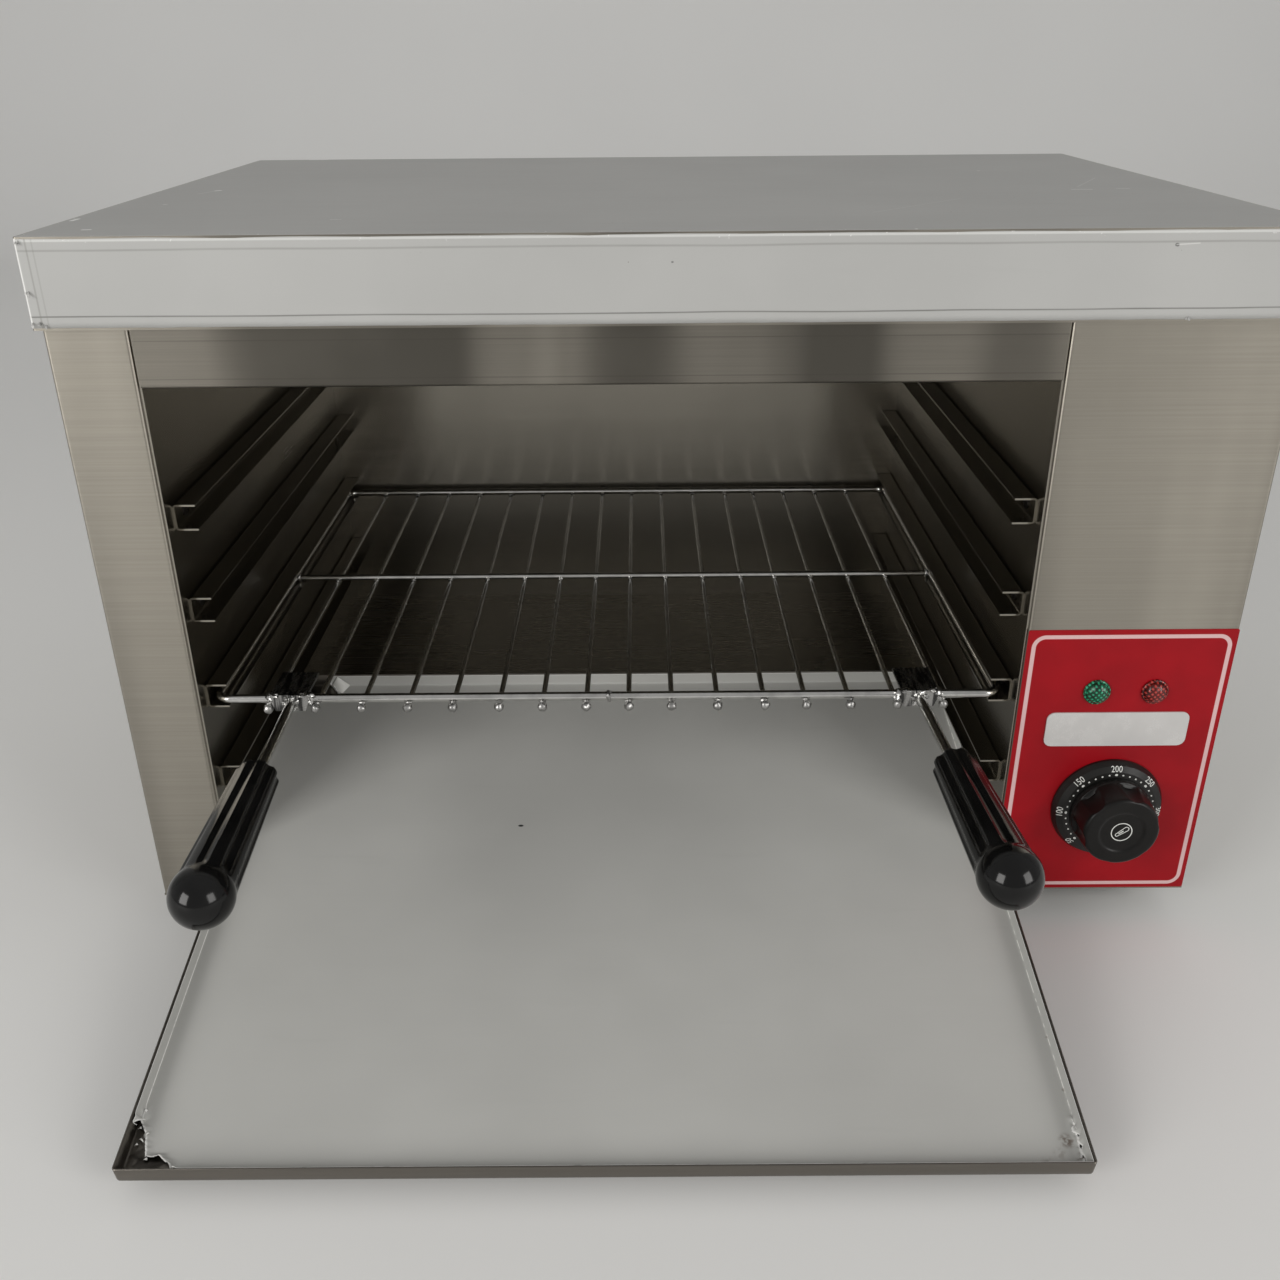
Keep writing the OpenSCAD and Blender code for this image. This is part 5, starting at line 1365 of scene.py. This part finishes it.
class GRILL_OT_label(bpy.types.Operator):
    """Print the label and its border, and finish the blank plate"""

    bl_idname = "grill.label"
    bl_label = "Label"

    def execute(self, context):
        controls = context.scene.grill_controls
        finish = Finish("label_print")
        x, y, z = finish.place()
        left, right, bottom, top, corner = 0.1918, 0.2963, 0.0243, 0.1849, 0.0062
        across = (x - (left + right) / 2).size() - ((right - left) / 2 - corner)
        upright = (z - (bottom + top) / 2).size() - ((top - bottom) / 2 - corner)
        outer = span([across.most(0.0), upright.most(0.0)])
        away = outer + across.most(upright).least(0.0) - corner
        line = away.size().ramp(0.00130, 0.00095)
        dots = finish.noise(finish.point(x, y, z), scale=2600.0, detail=1.0)
        cloud = finish.noise(finish.point(x, y, z), scale=45.0, detail=3.0)
        ground = finish.blend(cloud.ramp(0.3, 0.75), shade(controls.red, 0.92), shade(controls.red, 1.08))
        ground = finish.blend(dots.ramp(0.55, 0.8) * 0.15, ground, shade(controls.red, 1.35))
        material = finish.surface(
            Base_Color=finish.blend(line, ground, controls.line),
            Roughness=cloud * 0.10 + 0.34,
            Specular_IOR_Level=0.22,
            Normal=finish.bump(dots * 0.3 + cloud, 0.00008, 0.3),
        )
        dress(material, "control_label")
        plate = moulded(
            "plate_print", controls.plate, rough=0.25, coat=0.4, grain=1800.0, depth=0.00001, spread=0.05
        )
        dress(plate, "blank_plate")
        return {"FINISHED"}


class GRILL_OT_fittings(bpy.types.Operator):
    """Finish the heaters, the sensor, the supply, the feet and the fasteners"""

    bl_idname = "grill.fittings"
    bl_label = "Fittings"

    def execute(self, context):
        metals = context.scene.grill_metals
        heater = Finish("heater_scale")
        x, y, z = heater.place()
        scale = heater.noise(heater.point(x, y, z), scale=90.0, detail=4.0)
        fine = heater.noise(heater.point(x, y, z), scale=1400.0, detail=2.0)
        dark = heater.blend(scale.ramp(0.35, 0.7), shade(metals.heater, 0.7), shade(metals.heater, 1.7))
        oxide = heater.surface(
            Base_Color=dark,
            Metallic=0.55,
            Roughness=scale * 0.2 + 0.42,
            Normal=heater.bump(fine, 0.00006, 0.5),
        )
        dress(oxide, "front_heater", "rear_heater")
        zinc = bright_wire("zinc_plate", metals.zinc, rough=0.3)
        dress(zinc, "heater_ferrules", "heater_terminals", "thermostat_screws", "thermostat_shaft")
        dress(zinc, "foot_screws", "foot_nuts", "case_screws")
        dress(bright_wire("copper_tube", (0.55, 0.27, 0.15), rough=0.3), "capillary_tube", "sensor_bulb")
        dress(bright_wire("brass_stud", (0.58, 0.42, 0.17), rough=0.3), "earth_stud")
        dress(moulded("thermostat_case", (0.06, 0.06, 0.062), rough=0.5), "thermostat_body")
        dress(moulded("lamp_case", (0.55, 0.54, 0.49), rough=0.45, spread=0.08), "lamp_housings")
        ceramic = moulded("terminal_ceramic", (0.62, 0.60, 0.53), rough=0.55, grain=400.0, spread=0.1)
        dress(ceramic, "terminal_block")
        dress(moulded("lead_silicone", (0.36, 0.355, 0.34), rough=0.6, spread=0.1), "wiring")
        dress(moulded("gland_nylon", (0.02, 0.02, 0.021), rough=0.42), "cord_gland", "gland_nut")
        dress(moulded("foot_rubber", (0.018, 0.018, 0.018), rough=0.75, grain=700.0, depth=0.00008), "feet")
        return {"FINISHED"}


class GRILL_OT_studio(bpy.types.Operator):
    """Set up the floor, the backdrop, the lamps and the camera"""

    bl_idname = "grill.studio"
    bl_label = "Studio"

    def floor(self, studio):
        """Floor and backdrop as one sheet: flat, then a quarter of a circle, then upright."""
        bend = np.linspace(0, np.pi / 2, 20)
        reach, r, wide, high = 2.2, 0.9, 16.0, 9.0
        path = np.concatenate([
            [[-wide, 0.0], [-2.0, 0.0], [0.0, 0.0]],
            np.stack([reach + r * np.sin(bend), r - r * np.cos(bend)], -1),
            [[reach + r, high]],
        ])
        across = np.linspace(-wide, wide, 5)
        y, x = np.meshgrid(path[:, 0], across, indexing="ij")
        z = np.broadcast_to(path[:, 1][:, None], x.shape)
        finish = Finish("studio_paper")
        px, py, pz = finish.place()
        fibre = finish.noise(finish.point(px, py, pz), scale=900.0, detail=2.0)
        cloud = finish.noise(finish.point(px, py, pz), scale=1.2, detail=2.0)
        tone = finish.blend(cloud.ramp(0.3, 0.7), shade(studio.floor, 0.985), shade(studio.floor, 1.015))
        normal = finish.bump(fibre, 0.00003, 0.2)
        material = finish.surface(Base_Color=tone, Roughness=0.85 + fibre * 0.05, Normal=normal)
        mesh = bpy.data.meshes.new("studio_floor")
        points = np.stack([x, y, z], -1).reshape(-1, 3)
        mesh.from_pydata(points.tolist(), [], grid_faces(len(path), len(across), ring=False).tolist())
        mesh.polygons.foreach_set("use_smooth", np.ones(len(mesh.polygons), bool))
        mesh.materials.append(material)
        floor = bpy.data.objects.new("studio_floor", mesh)
        bpy.context.scene.collection.objects.link(floor)

    def lamp(self, name, place, watts):
        """Softbox at a place, turned to the middle of the grill."""
        light = bpy.data.lights.new(name, "AREA")
        light.shape, light.size, light.size_y = "RECTANGLE", 1.1, 1.3
        light.energy, light.color = watts, (1.0, 0.985, 0.96)
        lamp = bpy.data.objects.new(name, light)
        lamp.location = place
        away = np.array(place) - np.array((0.0, -0.1, 0.2))
        away = away / np.linalg.norm(away)
        side = np.cross([0, 0, 1.0], away)
        side = side / np.linalg.norm(side)
        lamp.rotation_euler = Matrix(np.stack([side, np.cross(away, side), away], 1).tolist()).to_euler()
        bpy.context.scene.collection.objects.link(lamp)

    def execute(self, context):
        scene, studio = context.scene, context.scene.grill_studio
        self.floor(studio)
        self.lamp("left_softbox", (-1.75, -1.9, 0.95), studio.left)
        self.lamp("right_softbox", (1.85, -1.8, 1.0), studio.right)
        world = bpy.data.worlds.new("studio_room")
        world.use_nodes = True
        back = world.node_tree.nodes["Background"]
        back.inputs["Color"].default_value = (1.0, 0.99, 0.975, 1.0)
        back.inputs["Strength"].default_value = studio.sky
        scene.world = world
        scene.view_settings.view_transform = "Standard"
        self.camera(scene, studio)
        return {"FINISHED"}

    def camera(self, scene, studio):
        """Camera from its place, pitch, yaw and roll: the rows of the turn are its right, down and
        forward directions."""
        cp, sp = math.cos(studio.pitch), math.sin(studio.pitch)
        level = np.array([[1, 0, 0], [0, 0, -1], [0, 1, 0]], float)
        nod = np.array([[1, 0, 0], [0, cp, -sp], [0, sp, cp]])
        rows = np.diag([1.0, -1.0, -1.0]) @ spun(studio.roll) @ nod @ level @ spun(studio.yaw)
        lens = bpy.data.cameras.new("camera")
        lens.sensor_width, lens.sensor_fit, lens.lens = 36.0, "HORIZONTAL", studio.focal
        lens.clip_start, lens.clip_end = 0.01, 50.0
        eye = bpy.data.objects.new("camera", lens)
        eye.matrix_world = Matrix.Translation(studio.camera) @ Matrix(rows.T.tolist()).to_4x4()
        scene.collection.objects.link(eye)
        scene.camera = eye


class GRILL_PT_panel(bpy.types.Panel):
    """Lists the pieces of the grill"""

    bl_label = "Countertop grill"
    bl_idname = "GRILL_PT_panel"
    bl_space_type = "VIEW_3D"
    bl_region_type = "UI"
    bl_category = "Grill"

    def draw(self, context):
        for operator in OPERATORS:
            self.layout.operator(operator.bl_idname)
        for name in GROUPS:
            group = getattr(context.scene, name)
            box = self.layout.box()
            box.label(text=name.replace("grill_", "").capitalize())
            for key in group.__annotations__:
                box.prop(group, key)


GROUPS = {
    "grill_metals": GrillMetals,
    "grill_cover": GrillCover,
    "grill_rack": GrillRack,
    "grill_handles": GrillHandles,
    "grill_tray": GrillTray,
    "grill_controls": GrillControls,
    "grill_studio": GrillStudio,
}
OPERATORS = (
    GRILL_OT_sheets,
    GRILL_OT_cover,
    GRILL_OT_rack,
    GRILL_OT_handles,
    GRILL_OT_tray,
    GRILL_OT_dial,
    GRILL_OT_lamps,
    GRILL_OT_label,
    GRILL_OT_fittings,
    GRILL_OT_studio,
)


def register():
    for group in (*GROUPS.values(), *OPERATORS, GRILL_PT_panel):
        bpy.utils.register_class(group)
    for name, group in GROUPS.items():
        setattr(bpy.types.Scene, name, PointerProperty(type=group))


def unregister():
    for name in GROUPS:
        delattr(bpy.types.Scene, name)
    for group in (GRILL_PT_panel, *reversed(OPERATORS), *reversed(GROUPS.values())):
        bpy.utils.unregister_class(group)


def main():
    register()
    bpy.ops.grill.sheets()
    bpy.ops.grill.cover()
    bpy.ops.grill.rack()
    bpy.ops.grill.handles()
    bpy.ops.grill.tray()
    bpy.ops.grill.dial()
    bpy.ops.grill.lamps()
    bpy.ops.grill.label()
    bpy.ops.grill.fittings()
    bpy.ops.grill.studio()


if __name__ == "__main__":
    main()
